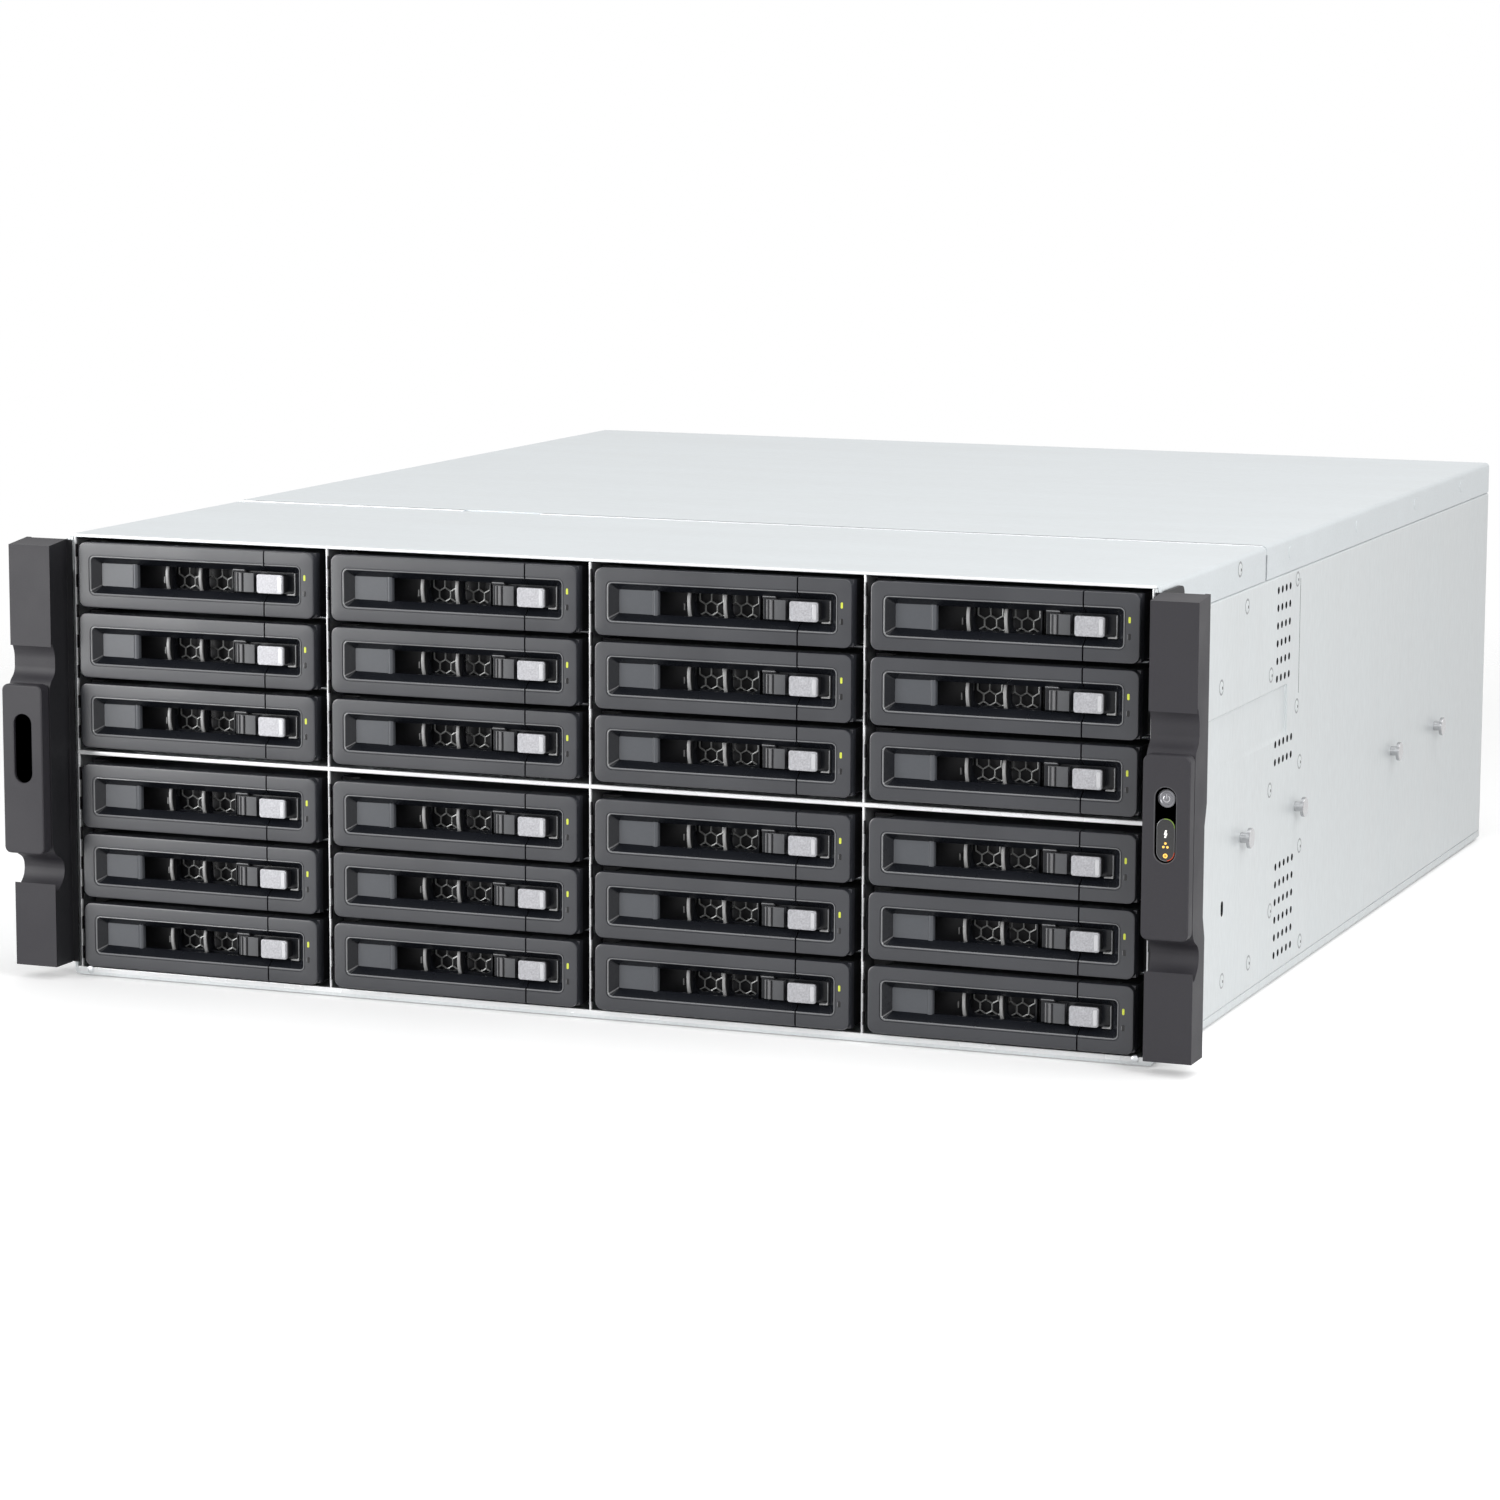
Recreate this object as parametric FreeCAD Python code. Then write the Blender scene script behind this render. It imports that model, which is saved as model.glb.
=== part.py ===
import FreeCAD, Part
import math
import os

# Rack-mount storage server, four units high, with hot-swap drive trays in four columns.
# Millimetres. X runs across the rack, +Y towards the rear and +Z up.
# The origin is the centre of the chassis's underside.

# Drives and the bays that hold them
drive_width = 101.6
drive_height = 26.1
drive_length = 147.0
columns = 4
banks = 2
rows_in_bank = 3
rail_thickness = 3.2
rail_height = 20.0
rail_clearance = 0.6
cage_plate = 0.8
drive_gap = 1.7
bottom_margin = 4.3
top_margin = 3.0
bank_gap = 6.5
shelf_thickness = 1.3
shelf_lip_height = 2.4
shelf_lip_depth = 1.2
ledge_thickness = 1.2
ledge_clearance = 0.3
ledge_from_front = 12.0
drive_side_clearance = 0.4

# Tray front: what the photograph shows of each tray
column_gap = 7.2
row_gap = 2.3
face_stand_off = 4.0
face_corner = 3.0
corner_steps = 3
frame_left_bar = 5.7
frame_top_bar = 5.7
frame_bottom_bar = 5.7
frame_right_bar = 6.2
block_width = 21.1
funnel_depth = 3.8
funnel_rise = 2.6
split_gap = 0.4
front_wall_depth = 14.0
front_wall_thickness = 2.0
skirt_thickness = 1.2
skirt_inset = 0.6
window_left = 35.6
window_right = 61.5
window_height = 9.0
fin_pitch = 14.4
fin_thickness = 1.0
fin_reach = 6.5

# Lever: hinged on a pin at its left end
lever_depth = 6.0
lever_end_depth = 3.0
pad_thickness = 1.7
pad_slope = 2.9
pad_end = 24.6
pad_lip_width = 1.6
pad_lip_height = 0.6
hinge_from_left = 3.5
hinge_depth = 5.0
hinge_pin_radius = 1.0
hinge_pin_clearance = 0.05
hinge_pin_flat = 0.4
hinge_ear_wall = 0.7
hinge_ear_bevel = 1.0
hinge_ear_height = 4.0
hinge_ear_margin = 3.0
hinge_side_clearance = 0.3
lug_wall = 1.2
lug_end = 7.0
lug_mouth = 5.7
lug_mouth_width = 1.6
hook_length = 5.0
hook_height = 3.0
hook_depth = 3.0
hook_from_end = 2.0

# Latch: button and lock slider on a housing in the fixed block
latch_housing_left = 66.5
latch_housing_height = 8.3
latch_housing_depth = 5.0
latch_height = 7.4
button_left = 78.2
button_width = 11.2
button_bevel = 1.0
button_front = 0.2
slider_left = 68.3
slider_width = 7.7
slider_front = 2.0
slider_ridge_height = 0.6
slider_ridge_width = 2.0

# Drive and backplane connectors
drive_front_gap = 1.0
connector_width = 42.0
connector_height = 5.0
connector_left_of_centre = 44.0
connector_clearance = 0.6
connector_reach = 5.0
backplane_gap = 8.0
backplane_thickness = 2.4
backplane_margin = 2.0
backplane_window_width = 40.0
backplane_window_left = 4.0
backplane_window_margin = 6.0

# Folded sheet steel
side_margin = 3.0
sheet = 1.2
cover_sheet = 1.0
fold_gap = 0.2
flange_height = 13.5
channel_top = 118.0
channel_bottom = 97.0
channel_slope = 2.5
channel_depth = 1.0
channel_length = 177.0
front_panel_length = 142.0
panel_joint = 0.4
front_lip_height = 3.0
cage_side_clearance = 0.3

# Fans
fan_space = 29.6
fan_size = 120.0
fan_depth = 38.0
fan_count = 3
fan_pitch = 130.0
fan_wall_thickness = 2.5
fan_hub_radius = 22.0
fan_hub_sides = 10
fan_duct_sides = 32
fan_tip_clearance = 1.5
blade_count = 5
blade_thickness = 2.0
blade_pitch_angle = 35.0
blade_depth = 22.0
strut_width = 6.0
strut_depth = 4.0
fan_window_margin = 3.0
fan_bracket_height = 130.0

# Electronics bay behind the fans
board_space = 292.0
board_width = 300.0
board_length = 244.0
board_thickness = 1.6
board_height = 7.0
board_from_left = 14.0
board_rear_gap = 8.0
standoff_radius = 3.0
standoff_sides = 6
standoff_inset = 12.0
heatsink_width = 90.0
heatsink_length = 90.0
heatsink_base = 5.0
heatsink_height = 60.0
heatsink_fins = 9
heatsink_fin_thickness = 2.0
memory_length = 133.0
memory_height = 31.0
memory_thickness = 3.8
memory_pitch = 9.4
memory_count = 4
socket_height = 9.0
socket_width = 6.4
port_reach = 22.0
port_row_height = 13.5
port_width = 16.0
port_pitch = 21.0
port_count = 6
port_row_gap = 3.0
port_recess = 8.0
port_wall = 1.5
port_window_clearance = 0.5
port_window_margin = 4.0

# Expansion slots in the rear wall
slot_count = 5
slot_pitch = 20.32
slot_opening_width = 15.0
slot_opening_height = 96.0
slot_cover_width = 18.4
slot_cover_overlap = 4.0
slot_cover_thickness = 0.9
slot_bottom = 66.0
slot_first_from_left = 30.0

# Exhaust openings above the power supplies
exhaust_columns = 4
exhaust_rows = 2
exhaust_width = 16.0
exhaust_height = 30.0
exhaust_pitch_x = 20.0
exhaust_pitch_z = 36.0

# Power supplies, one above the other
psu_width = 86.0
psu_height = 40.0
psu_length = 200.0
psu_from_side = 6.0
psu_clearance = 0.6
psu_shelf = 1.0
psu_cage_extra = 6.0
psu_count = 2
inlet_width = 27.0
inlet_height = 20.0
inlet_depth = 12.0
inlet_margin = 6.0
inlet_pin_width = 2.0
inlet_pin_height = 6.0
inlet_pin_length = 9.0
inlet_pin_pitch = 7.0
psu_fan_radius = 15.0
psu_fan_recess = 4.0
psu_fan_sides = 16
psu_fan_from_side = 24.0
handle_thickness = 4.0
handle_reach = 24.0
handle_height = 34.0
handle_width = 9.0
handle_from_side = 46.0
latch_tab_width = 5.0
latch_tab_height = 16.0
latch_tab_reach = 12.0

# Ears: a steel bracket with a moulded cover and a grip plate
ear_reach = 18.3
ear_joint = 0.2
ear_bottom_margin = 4.9
ear_top_margin = 2.3
ear_flange = 2.0
ear_side_wall = 2.0
bracket_leg = 25.0
bracket_leg_corner = 4.0
bracket_thickness = 1.5
ear_stand_off = 14.3
ear_neck_recess = 3.0
ear_waist_recess = 7.5
ear_foot_height = 28.3
ear_slope_height = 6.7
ear_waist_height = 11.1
ear_back_recess = 2.5
ear_back_slope = 8.0
ear_back_recess_bottom = 57.0
ear_back_recess_height = 33.0
grip_height = 67.0
ear_neck_height = 11.2
grip_stand_off = 21.8
grip_thickness = 6.0
grip_inset = 0.4
grip_corner = 2.5
slot_end_steps = 6
grip_slot_width = 8.6
grip_slot_height = 28.1
grip_slot_top_margin = 11.1
grip_slot_depth = 2.0
rack_hole_radius = 3.5
rack_hole_from_end = 8.75
rack_hole_pitch_z = 101.6
bolt_pocket = 13.0
bolt_pocket_depth = 3.4
power_button_radius = 3.25
power_button_clearance = 0.1
power_button_below_slot_top = 4.6
power_button_proud = 0.3
power_button_travel = 1.2
power_button_length = 2.5
window_light_height = 15.7
window_light_clearance = 0.3
window_light_bottom_margin = 0.8
window_light_thickness = 1.2

# Studs on the chassis sides that hang in the slide rails
stud_positions = (113.0, 193.0, 352.0, 432.0)
stud_height = 66.5
stud_neck_radius = 2.0
stud_neck_sides = 6
stud_head_radius = 4.0
stud_head_sides = 8
stud_reach = 4.5
stud_head_thickness = 1.5

# Sizes that follow from the ones above
column_pitch = drive_width + 2 * (rail_thickness + rail_clearance) + cage_plate
row_pitch = drive_height + drive_gap
face_width = column_pitch - column_gap
face_height = row_pitch - row_gap
bank_height = rows_in_bank * row_pitch - row_gap
chassis_width = columns * column_pitch + 2 * side_margin
chassis_height = bottom_margin + banks * bank_height + (banks - 1) * bank_gap + top_margin
drive_front = front_wall_depth + front_wall_thickness + drive_front_gap
backplane_from_front = drive_front + drive_length + backplane_gap - face_stand_off
fan_from_front = backplane_from_front + backplane_thickness + fan_space
chassis_depth = fan_from_front + fan_depth + board_space
half_width = chassis_width / 2
ear_end = half_width + ear_reach
rack_hole_x = ear_end - rack_hole_from_end
front_y = -chassis_depth / 2
rear_y = chassis_depth / 2
face_y = front_y - face_stand_off
fold_z = chassis_height - flange_height
inner_x = half_width - cover_sheet - fold_gap
inner_top = chassis_height - cover_sheet - fold_gap
cage_half_width = inner_x - sheet - cage_side_clearance
opening_height = face_height - frame_top_bar - frame_bottom_bar
opening_centre = frame_bottom_bar + opening_height / 2
lever_end = face_width - block_width - split_gap
block_left = face_width - block_width
ear_bottom = ear_bottom_margin
ear_top = chassis_height - ear_top_margin
grip_bottom = ear_bottom + ear_foot_height + ear_slope_height + ear_waist_height
grip_top = grip_bottom + grip_height
psu_right = half_width - psu_from_side
psu_left = psu_right - psu_width
psu_pitch = psu_height + 2 * psu_clearance + psu_shelf
psu_cage_top = sheet + psu_count * psu_pitch
board_left = -half_width + board_from_left
board_rear = rear_y - board_rear_gap
board_top = sheet + board_height + board_thickness
block_depth = lever_depth + hinge_side_clearance
hinge_ear_half = hinge_pin_radius + hinge_ear_wall
hinge_slot_half = hinge_pin_radius + hinge_pin_clearance
upper_ear_bottom = face_height - hinge_ear_margin - hinge_ear_height


def vector(x, y, z):
    return FreeCAD.Vector(x, y, z)


def box(x0, x1, y0, y1, z0, z1):
    """A block between two corners."""
    return Part.makeBox(x1 - x0, y1 - y0, z1 - z0, vector(x0, y0, z0))


def prism(points, direction):
    """A closed outline of straight edges, swept along a vector."""
    corners = [vector(*point) for point in points]
    outline = Part.makePolygon(corners + [corners[0]])
    return Part.Face(outline).extrude(direction)


def rod(radius, start, end):
    """A round bar between two points."""
    along = end - start
    return Part.makeCylinder(radius, along.Length, start, along)


def join(shapes):
    """One solid from pieces that touch or overlap, without seams between flat faces."""
    return shapes[0].fuse(shapes[1:]).removeSplitter()


def arc_points(centre_x, centre_z, radius, start_angle, end_angle, steps):
    """Points along an arc, as pairs across and up; angles in degrees from the right."""
    points = []
    for number in range(steps + 1):
        angle = math.radians(start_angle + (end_angle - start_angle) * number / steps)
        points.append((centre_x + radius * math.cos(angle), centre_z + radius * math.sin(angle)))
    return points


def upright_prism(pairs, y0, y1):
    """An outline drawn on the front, swept from one depth to another."""
    return prism([(x, y0, z) for x, z in pairs], vector(0, y1 - y0, 0))


def flat_prism(pairs, z0, z1):
    """An outline drawn from above, swept from one height to another."""
    return prism([(x, y, z0) for x, y in pairs], vector(0, 0, z1 - z0))


def side_prism(pairs, x0, x1):
    """An outline drawn from the side, swept across the object."""
    return prism([(x0, y, z) for y, z in pairs], vector(x1 - x0, 0, 0))


def stadium(centre_x, bottom, top, width, y0, y1):
    """An upright slot with round ends, cut or raised between two depths."""
    radius = width / 2
    pairs = arc_points(centre_x, top - radius, radius, 0, 180, slot_end_steps)
    pairs += arc_points(centre_x, bottom + radius, radius, 180, 360, slot_end_steps)
    return upright_prism(pairs, y0, y1)


def regular(centre_x, centre_z, radius, sides):
    """Corners of a regular outline."""
    return arc_points(centre_x, centre_z, radius, 0, 360, sides)[:-1]


def bay_places():
    """Name and lower left face corner of every tray, top row first."""
    places = []
    for column in range(columns):
        x = (column - (columns - 1) / 2) * column_pitch - face_width / 2
        for row in range(banks * rows_in_bank):
            from_bottom = banks * rows_in_bank - 1 - row
            z = bottom_margin + from_bottom * row_pitch
            z += (from_bottom // rows_in_bank) * (bank_gap - row_gap)
            places.append((f"r{row + 1}c{column + 1}", vector(x, face_y, z)))
    return places


# Tray pieces are drawn with the face's lower left corner at the origin.

def tray_front_wall():
    """Wall behind the lever, with a wide air window."""
    left = face_width / 2 - drive_width / 2 - rail_thickness
    back = front_wall_depth + front_wall_thickness
    wall = box(left, face_width - left, front_wall_depth, back,
               skirt_inset, face_height - skirt_inset)
    low = opening_centre - window_height / 2
    return wall.cut(box(window_left, window_right, front_wall_depth, back,
                        low, low + window_height))


def tray_fins():
    """Upright fins at the window: one at its left edge, one that divides it."""
    low = opening_centre - window_height / 2
    back = front_wall_depth + front_wall_thickness
    rights = (window_left, window_left + fin_pitch)
    return [box(right - fin_thickness, right, front_wall_depth - fin_reach, back,
                low, low + window_height) for right in rights]


def tray_skirts():
    """Thin walls above, below and at the right, from the lever's back to the front wall."""
    low = skirt_inset
    high = face_height - skirt_inset
    left = hinge_from_left + hinge_ear_half + hinge_side_clearance
    right = face_width - skirt_inset
    pairs = [
        (left, low), (right, low), (right, high), (left, high),
        (left, high - skirt_thickness), (right - skirt_thickness, high - skirt_thickness),
        (right - skirt_thickness, low + skirt_thickness), (left, low + skirt_thickness),
    ]
    return upright_prism(pairs, block_depth, front_wall_depth)


def face_bars(left, right, depth):
    """Lower and upper bar of the face, whose walls towards the opening slope in."""
    lower = [(0, 0), (0, frame_bottom_bar), (funnel_depth, frame_bottom_bar + funnel_rise),
             (depth, frame_bottom_bar + funnel_rise), (depth, 0)]
    upper = [(y, face_height - z * frame_top_bar / frame_bottom_bar) for y, z in lower]
    return [side_prism(lower, left, right), side_prism(upper, left, right)]


def tray_block():
    """Fixed right end of the face, with the end of the opening in it."""
    centre = face_width - face_corner
    inner = face_width - frame_right_bar
    pairs = arc_points(centre, face_corner, face_corner, 270, 360, corner_steps)
    pairs += arc_points(centre, face_height - face_corner, face_corner, 0, 90, corner_steps)
    pairs += [(inner, face_height), (inner, 0)]
    return [upright_prism(pairs, 0, block_depth)] + face_bars(block_left, inner, block_depth)


def hinge_ear(bottom):
    """Ear on the front wall that holds one end of the hinge pin."""
    left = hinge_from_left - hinge_ear_half
    right = hinge_from_left + hinge_ear_half
    front = hinge_depth - hinge_ear_half
    pairs = [
        (left, front_wall_depth), (left, front + hinge_ear_bevel),
        (left + hinge_ear_bevel, front), (right - hinge_ear_bevel, front),
        (right, front + hinge_ear_bevel), (right, front_wall_depth),
    ]
    return flat_prism(pairs, bottom, bottom + hinge_ear_height)


def hinge_pin():
    """Moulded pin between the two ears, round with a flat along its back."""
    low = hinge_ear_margin + hinge_ear_height
    pin = rod(hinge_pin_radius, vector(hinge_from_left, hinge_depth, low),
              vector(hinge_from_left, hinge_depth, upper_ear_bottom))
    flat = hinge_depth + hinge_pin_flat
    return pin.cut(box(hinge_from_left - hinge_pin_radius, hinge_from_left + hinge_pin_radius,
                       flat, hinge_depth + hinge_pin_radius, low, upper_ear_bottom))


def tray_rails():
    """Two rails that the drive is screwed to, and that slide on the cage's ledges."""
    middle = face_width / 2
    inner = drive_width / 2
    outer = inner + rail_thickness
    start = front_wall_depth
    end = drive_front + drive_length
    low = skirt_inset
    return [
        box(middle - outer, middle - inner, start, end, low, low + rail_height),
        box(middle + inner, middle + outer, start, end, low, low + rail_height),
    ]


def tray_latch_housing():
    """Housing that carries the lock slider and the release button."""
    low = opening_centre - latch_housing_height / 2
    return box(latch_housing_left, face_width - frame_right_bar, latch_housing_depth,
               front_wall_depth, low, low + latch_housing_height)


def tray_carrier():
    """Everything moulded in one piece with the tray's rails."""
    pieces = [tray_front_wall(), tray_skirts(), tray_latch_housing()]
    pieces += tray_block() + tray_fins() + tray_rails()
    pieces += [hinge_ear(hinge_ear_margin), hinge_ear(upper_ear_bottom), hinge_pin()]
    return join(pieces)


def tray_button():
    """Silver release button with bevelled sides."""
    low = opening_centre - latch_height / 2
    right = button_left + button_width
    pairs = [
        (button_left, latch_housing_depth), (button_left, button_front + button_bevel),
        (button_left + button_bevel, button_front), (right - button_bevel, button_front),
        (right, button_front + button_bevel), (right, latch_housing_depth),
    ]
    return flat_prism(pairs, low, low + latch_height)


def tray_slider():
    """Lock slider with a raised finger ridge at its left."""
    low = opening_centre - latch_height / 2
    right = slider_left + slider_width
    ridge_front = slider_front - slider_ridge_height
    ridge_right = slider_left + slider_ridge_width
    pairs = [
        (slider_left, latch_housing_depth), (slider_left, ridge_front),
        (ridge_right, ridge_front), (ridge_right, slider_front),
        (right, slider_front), (right, latch_housing_depth),
    ]
    return flat_prism(pairs, low, low + latch_height)


def tray_drive():
    """A 3.5-inch drive with the notch for its connector."""
    x = face_width / 2 - drive_width / 2
    z = face_height / 2 - drive_height / 2
    body = box(x, x + drive_width, drive_front, drive_front + drive_length, z, z + drive_height)
    notch_left = face_width / 2 - connector_left_of_centre - connector_clearance
    notch_right = notch_left + connector_width + 2 * connector_clearance
    end = drive_front + drive_length
    notch_top = skirt_inset + connector_height + 2 * connector_clearance
    return body.cut(box(notch_left, notch_right, end - connector_reach - connector_clearance, end,
                        z, notch_top))


def tray():
    return [tray_carrier(), tray_button(), tray_slider(), tray_drive()]


def lever_frame():
    """Front of the lever: two long bars joined at the left by a thinner end."""
    top = face_height - face_corner
    pairs = arc_points(face_corner, top, face_corner, 90, 180, corner_steps)
    pairs += arc_points(face_corner, face_corner, face_corner, 180, 270, corner_steps)
    pairs += [(frame_left_bar, 0), (frame_left_bar, face_height)]
    end = upright_prism(pairs, 0, lever_end_depth)
    return [end] + face_bars(frame_left_bar, lever_end, lever_depth)


def lever_pad():
    """Sloped left wall of the funnel and the finger pad."""
    back = funnel_depth + pad_thickness
    pairs = [
        (frame_left_bar, 0), (frame_left_bar + pad_slope, funnel_depth),
        (pad_end - pad_lip_width, funnel_depth),
        (pad_end - pad_lip_width, funnel_depth - pad_lip_height),
        (pad_end, funnel_depth - pad_lip_height), (pad_end, back), (frame_left_bar, back),
    ]
    return flat_prism(pairs, frame_bottom_bar, frame_bottom_bar + opening_height)


def lever_lug():
    """Lug between the tray's ears, with a slot that snaps over the hinge pin."""
    outer = hinge_slot_half + lug_wall
    mouth = lug_mouth_width / 2
    floor = hinge_depth - hinge_slot_half
    right_half = [(outer, lever_end_depth), (outer, lug_end), (mouth, lug_end),
                  (mouth, lug_mouth), (hinge_slot_half, lug_mouth), (hinge_slot_half, floor)]
    left_half = [(-across, depth) for across, depth in reversed(right_half)]
    pairs = [(hinge_from_left + across, depth) for across, depth in right_half + left_half]
    low = hinge_ear_margin + hinge_ear_height + hinge_side_clearance
    return flat_prism(pairs, low, face_height - low)


def lever_hooks():
    """Hooks behind the free ends of the bars, which the latch holds."""
    right = lever_end - hook_from_end
    left = right - hook_length
    end = lever_depth + hook_depth
    low = frame_bottom_bar / 2 - hook_height / 2 + skirt_thickness
    high = face_height - low - hook_height
    return [box(left, right, lever_depth, end, z, z + hook_height) for z in (low, high)]


def lever():
    return [join(lever_frame() + [lever_pad(), lever_lug()] + lever_hooks())]


def side_channel(side, outset):
    """Solid that fills the long shallow channel pressed into a chassis side."""
    face = half_width - outset
    floor = face - channel_depth
    pairs = [
        (face, channel_top), (floor, channel_top - channel_slope),
        (floor, channel_bottom + channel_slope), (face, channel_bottom),
    ]
    return upright_prism([(side * x, z) for x, z in pairs], front_y, front_y + channel_length)


def chassis_side(side):
    """Side sheet that rises from the bottom, stepped in under the cover's flange."""
    step = fold_z - fold_gap
    pairs = [
        (half_width, sheet), (half_width, step), (inner_x, step), (inner_x, inner_top),
        (inner_x - sheet, inner_top), (inner_x - sheet, step - sheet),
        (half_width - sheet, step - sheet), (half_width - sheet, sheet),
    ]
    wall = upright_prism([(side * x, z) for x, z in pairs], front_y, rear_y)
    return join([wall, side_channel(side, sheet)]).cut(side_channel(side, 0))


def chassis_tub():
    """Bottom, front lip and both sides, one piece for each side of a fold."""
    bottom = box(-half_width, half_width, front_y, rear_y, 0, sheet)
    lip = box(-half_width + sheet, half_width - sheet, front_y, front_y + sheet,
              sheet, front_lip_height)
    return [bottom, lip, chassis_side(-1), chassis_side(1)]


def rear_wall():
    """Rear sheets round the power supplies: slots and ports, exhaust air, and the edge."""
    outer = half_width - sheet
    inner = inner_x - sheet
    step = fold_z - fold_gap - sheet
    start = rear_y - sheet
    outline = [
        (-outer, start, sheet), (outer, start, sheet), (outer, start, step), (inner, start, step),
        (inner, start, inner_top), (-inner, start, inner_top), (-inner, start, step),
        (-outer, start, step),
    ]
    wall = prism(outline, vector(0, sheet, 0))
    opening_left = psu_left - psu_clearance
    opening_right = psu_right + psu_clearance
    low, high = port_rise()
    openings = [box(*port_span(), start, rear_y, low - port_window_clearance,
                    high + port_window_clearance)]
    for x in slot_centres():
        openings.append(box(x - slot_opening_width / 2, x + slot_opening_width / 2, start, rear_y,
                            slot_bottom, slot_bottom + slot_opening_height))
    for x, z in exhaust_centres():
        openings.append(box(x - exhaust_width / 2, x + exhaust_width / 2, start, rear_y,
                            z - exhaust_height / 2, z + exhaust_height / 2))
    wall = wall.cut(Part.makeCompound(openings))
    sheets = []
    for x0, x1, z0 in ((-outer, opening_left, sheet), (opening_left, outer, psu_cage_top)):
        sheets += wall.common(box(x0, x1, start, rear_y, z0, inner_top)).Solids
    sheets.append(box(opening_right, outer, start, rear_y, sheet, psu_cage_top))
    return sheets


def slot_centres():
    first = -half_width + slot_first_from_left
    return [first + number * slot_pitch for number in range(slot_count)]


def exhaust_centres():
    """Centres of the exhaust openings, spread over the width of the power supplies."""
    middle_x = (psu_left + psu_right) / 2
    middle_z = (psu_cage_top + inner_top) / 2
    centres = []
    for column in range(exhaust_columns):
        for row in range(exhaust_rows):
            x = middle_x + (column - (exhaust_columns - 1) / 2) * exhaust_pitch_x
            z = middle_z + (row - (exhaust_rows - 1) / 2) * exhaust_pitch_z
            centres.append((x, z))
    return centres


def slot_covers():
    """One blank cover inside the rear wall over each expansion slot."""
    end = rear_y - sheet
    covers = []
    for x in slot_centres():
        covers.append(box(x - slot_cover_width / 2, x + slot_cover_width / 2,
                          end - slot_cover_thickness, end, slot_bottom - slot_cover_overlap,
                          slot_bottom + slot_opening_height + slot_cover_overlap))
    return covers


def psu_cage():
    """Inner wall, roof and shelves that guide the power supplies."""
    start = rear_y - sheet - psu_length - psu_cage_extra
    end = rear_y - sheet
    wall_right = psu_left - psu_clearance
    wall = box(wall_right - psu_shelf, wall_right, start, end, sheet, psu_cage_top)
    shelves = []
    for number in range(1, psu_count + 1):
        top = sheet + number * psu_pitch
        shelves.append(box(wall_right, half_width - sheet, start, end, top - psu_shelf, top))
    return [wall] + shelves


def side_stud(side, y):
    """Shouldered stud on a chassis side: a neck and a wider head."""
    neck_end = half_width + stud_reach - stud_head_thickness
    end = half_width + stud_reach
    neck = side_prism(regular(y, stud_height, stud_neck_radius, stud_neck_sides),
                      side * half_width, side * neck_end)
    head = side_prism(regular(y, stud_height, stud_head_radius, stud_head_sides),
                      side * neck_end, side * end)
    return join([neck, head])


def chassis():
    studs = [side_stud(side, front_y + y) for side in (-1, 1) for y in stud_positions]
    return chassis_tub() + rear_wall() + psu_cage() + slot_covers() + studs


def folded_cover(start, end):
    """A top sheet with a flange down each side, one piece for each side of a fold."""
    inner = half_width - cover_sheet
    low = chassis_height - cover_sheet
    top = box(-half_width, half_width, start, end, low, chassis_height)
    left = box(-half_width, -inner, start, end, fold_z, low)
    right = box(inner, half_width, start, end, fold_z, low)
    return [top, left, right]


def front_top_panel():
    return folded_cover(front_y, front_y + front_panel_length)


def top_cover():
    return folded_cover(front_y + front_panel_length + panel_joint, rear_y)


def drive_cage():
    """Upright plates, a middle shelf in each bank gap and a ledge under each tray rail."""
    end = front_y + backplane_from_front
    pieces = []
    bank_bottoms = [sheet]
    bank_tops = []
    for bank in range(1, banks):
        middle = bottom_margin + bank * (bank_height + bank_gap) - bank_gap / 2
        low = middle - shelf_thickness / 2
        high = middle + shelf_thickness / 2
        shelf = box(-cage_half_width, cage_half_width, front_y, end, low, high)
        lip = box(-cage_half_width, cage_half_width, front_y, front_y + shelf_lip_depth,
                  middle - shelf_lip_height / 2, middle + shelf_lip_height / 2)
        pieces.append(join([shelf, lip]))
        bank_tops.append(low)
        bank_bottoms.append(high)
    bank_tops.append(inner_top)
    edges = [(column - columns / 2) * column_pitch for column in range(columns + 1)]
    for low, high in zip(bank_bottoms, bank_tops):
        for x in edges:
            left = max(x - cage_plate / 2, -cage_half_width)
            right = min(x + cage_plate / 2, cage_half_width)
            if x == edges[0]:
                right = left + cage_plate
            if x == edges[-1]:
                left = right - cage_plate
            pieces.append(box(left, right, front_y + shelf_lip_depth, end, low, high))
    return pieces + cage_ledges(end)


def cage_ledges(end):
    """Ledges that reach from the plates to just short of each drive."""
    ledges = []
    inner = drive_width / 2 + drive_side_clearance
    for name, corner in bay_places():
        middle = corner.x + face_width / 2
        top = corner.z + skirt_inset - ledge_clearance
        wall_left = max(middle - column_pitch / 2 + cage_plate / 2, -cage_half_width + cage_plate)
        wall_right = min(middle + column_pitch / 2 - cage_plate / 2, cage_half_width - cage_plate)
        for left, right in ((wall_left, middle - inner), (middle + inner, wall_right)):
            ledges.append(box(left, right, front_y + ledge_from_front, end,
                              top - ledge_thickness, top))
    return ledges


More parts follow.
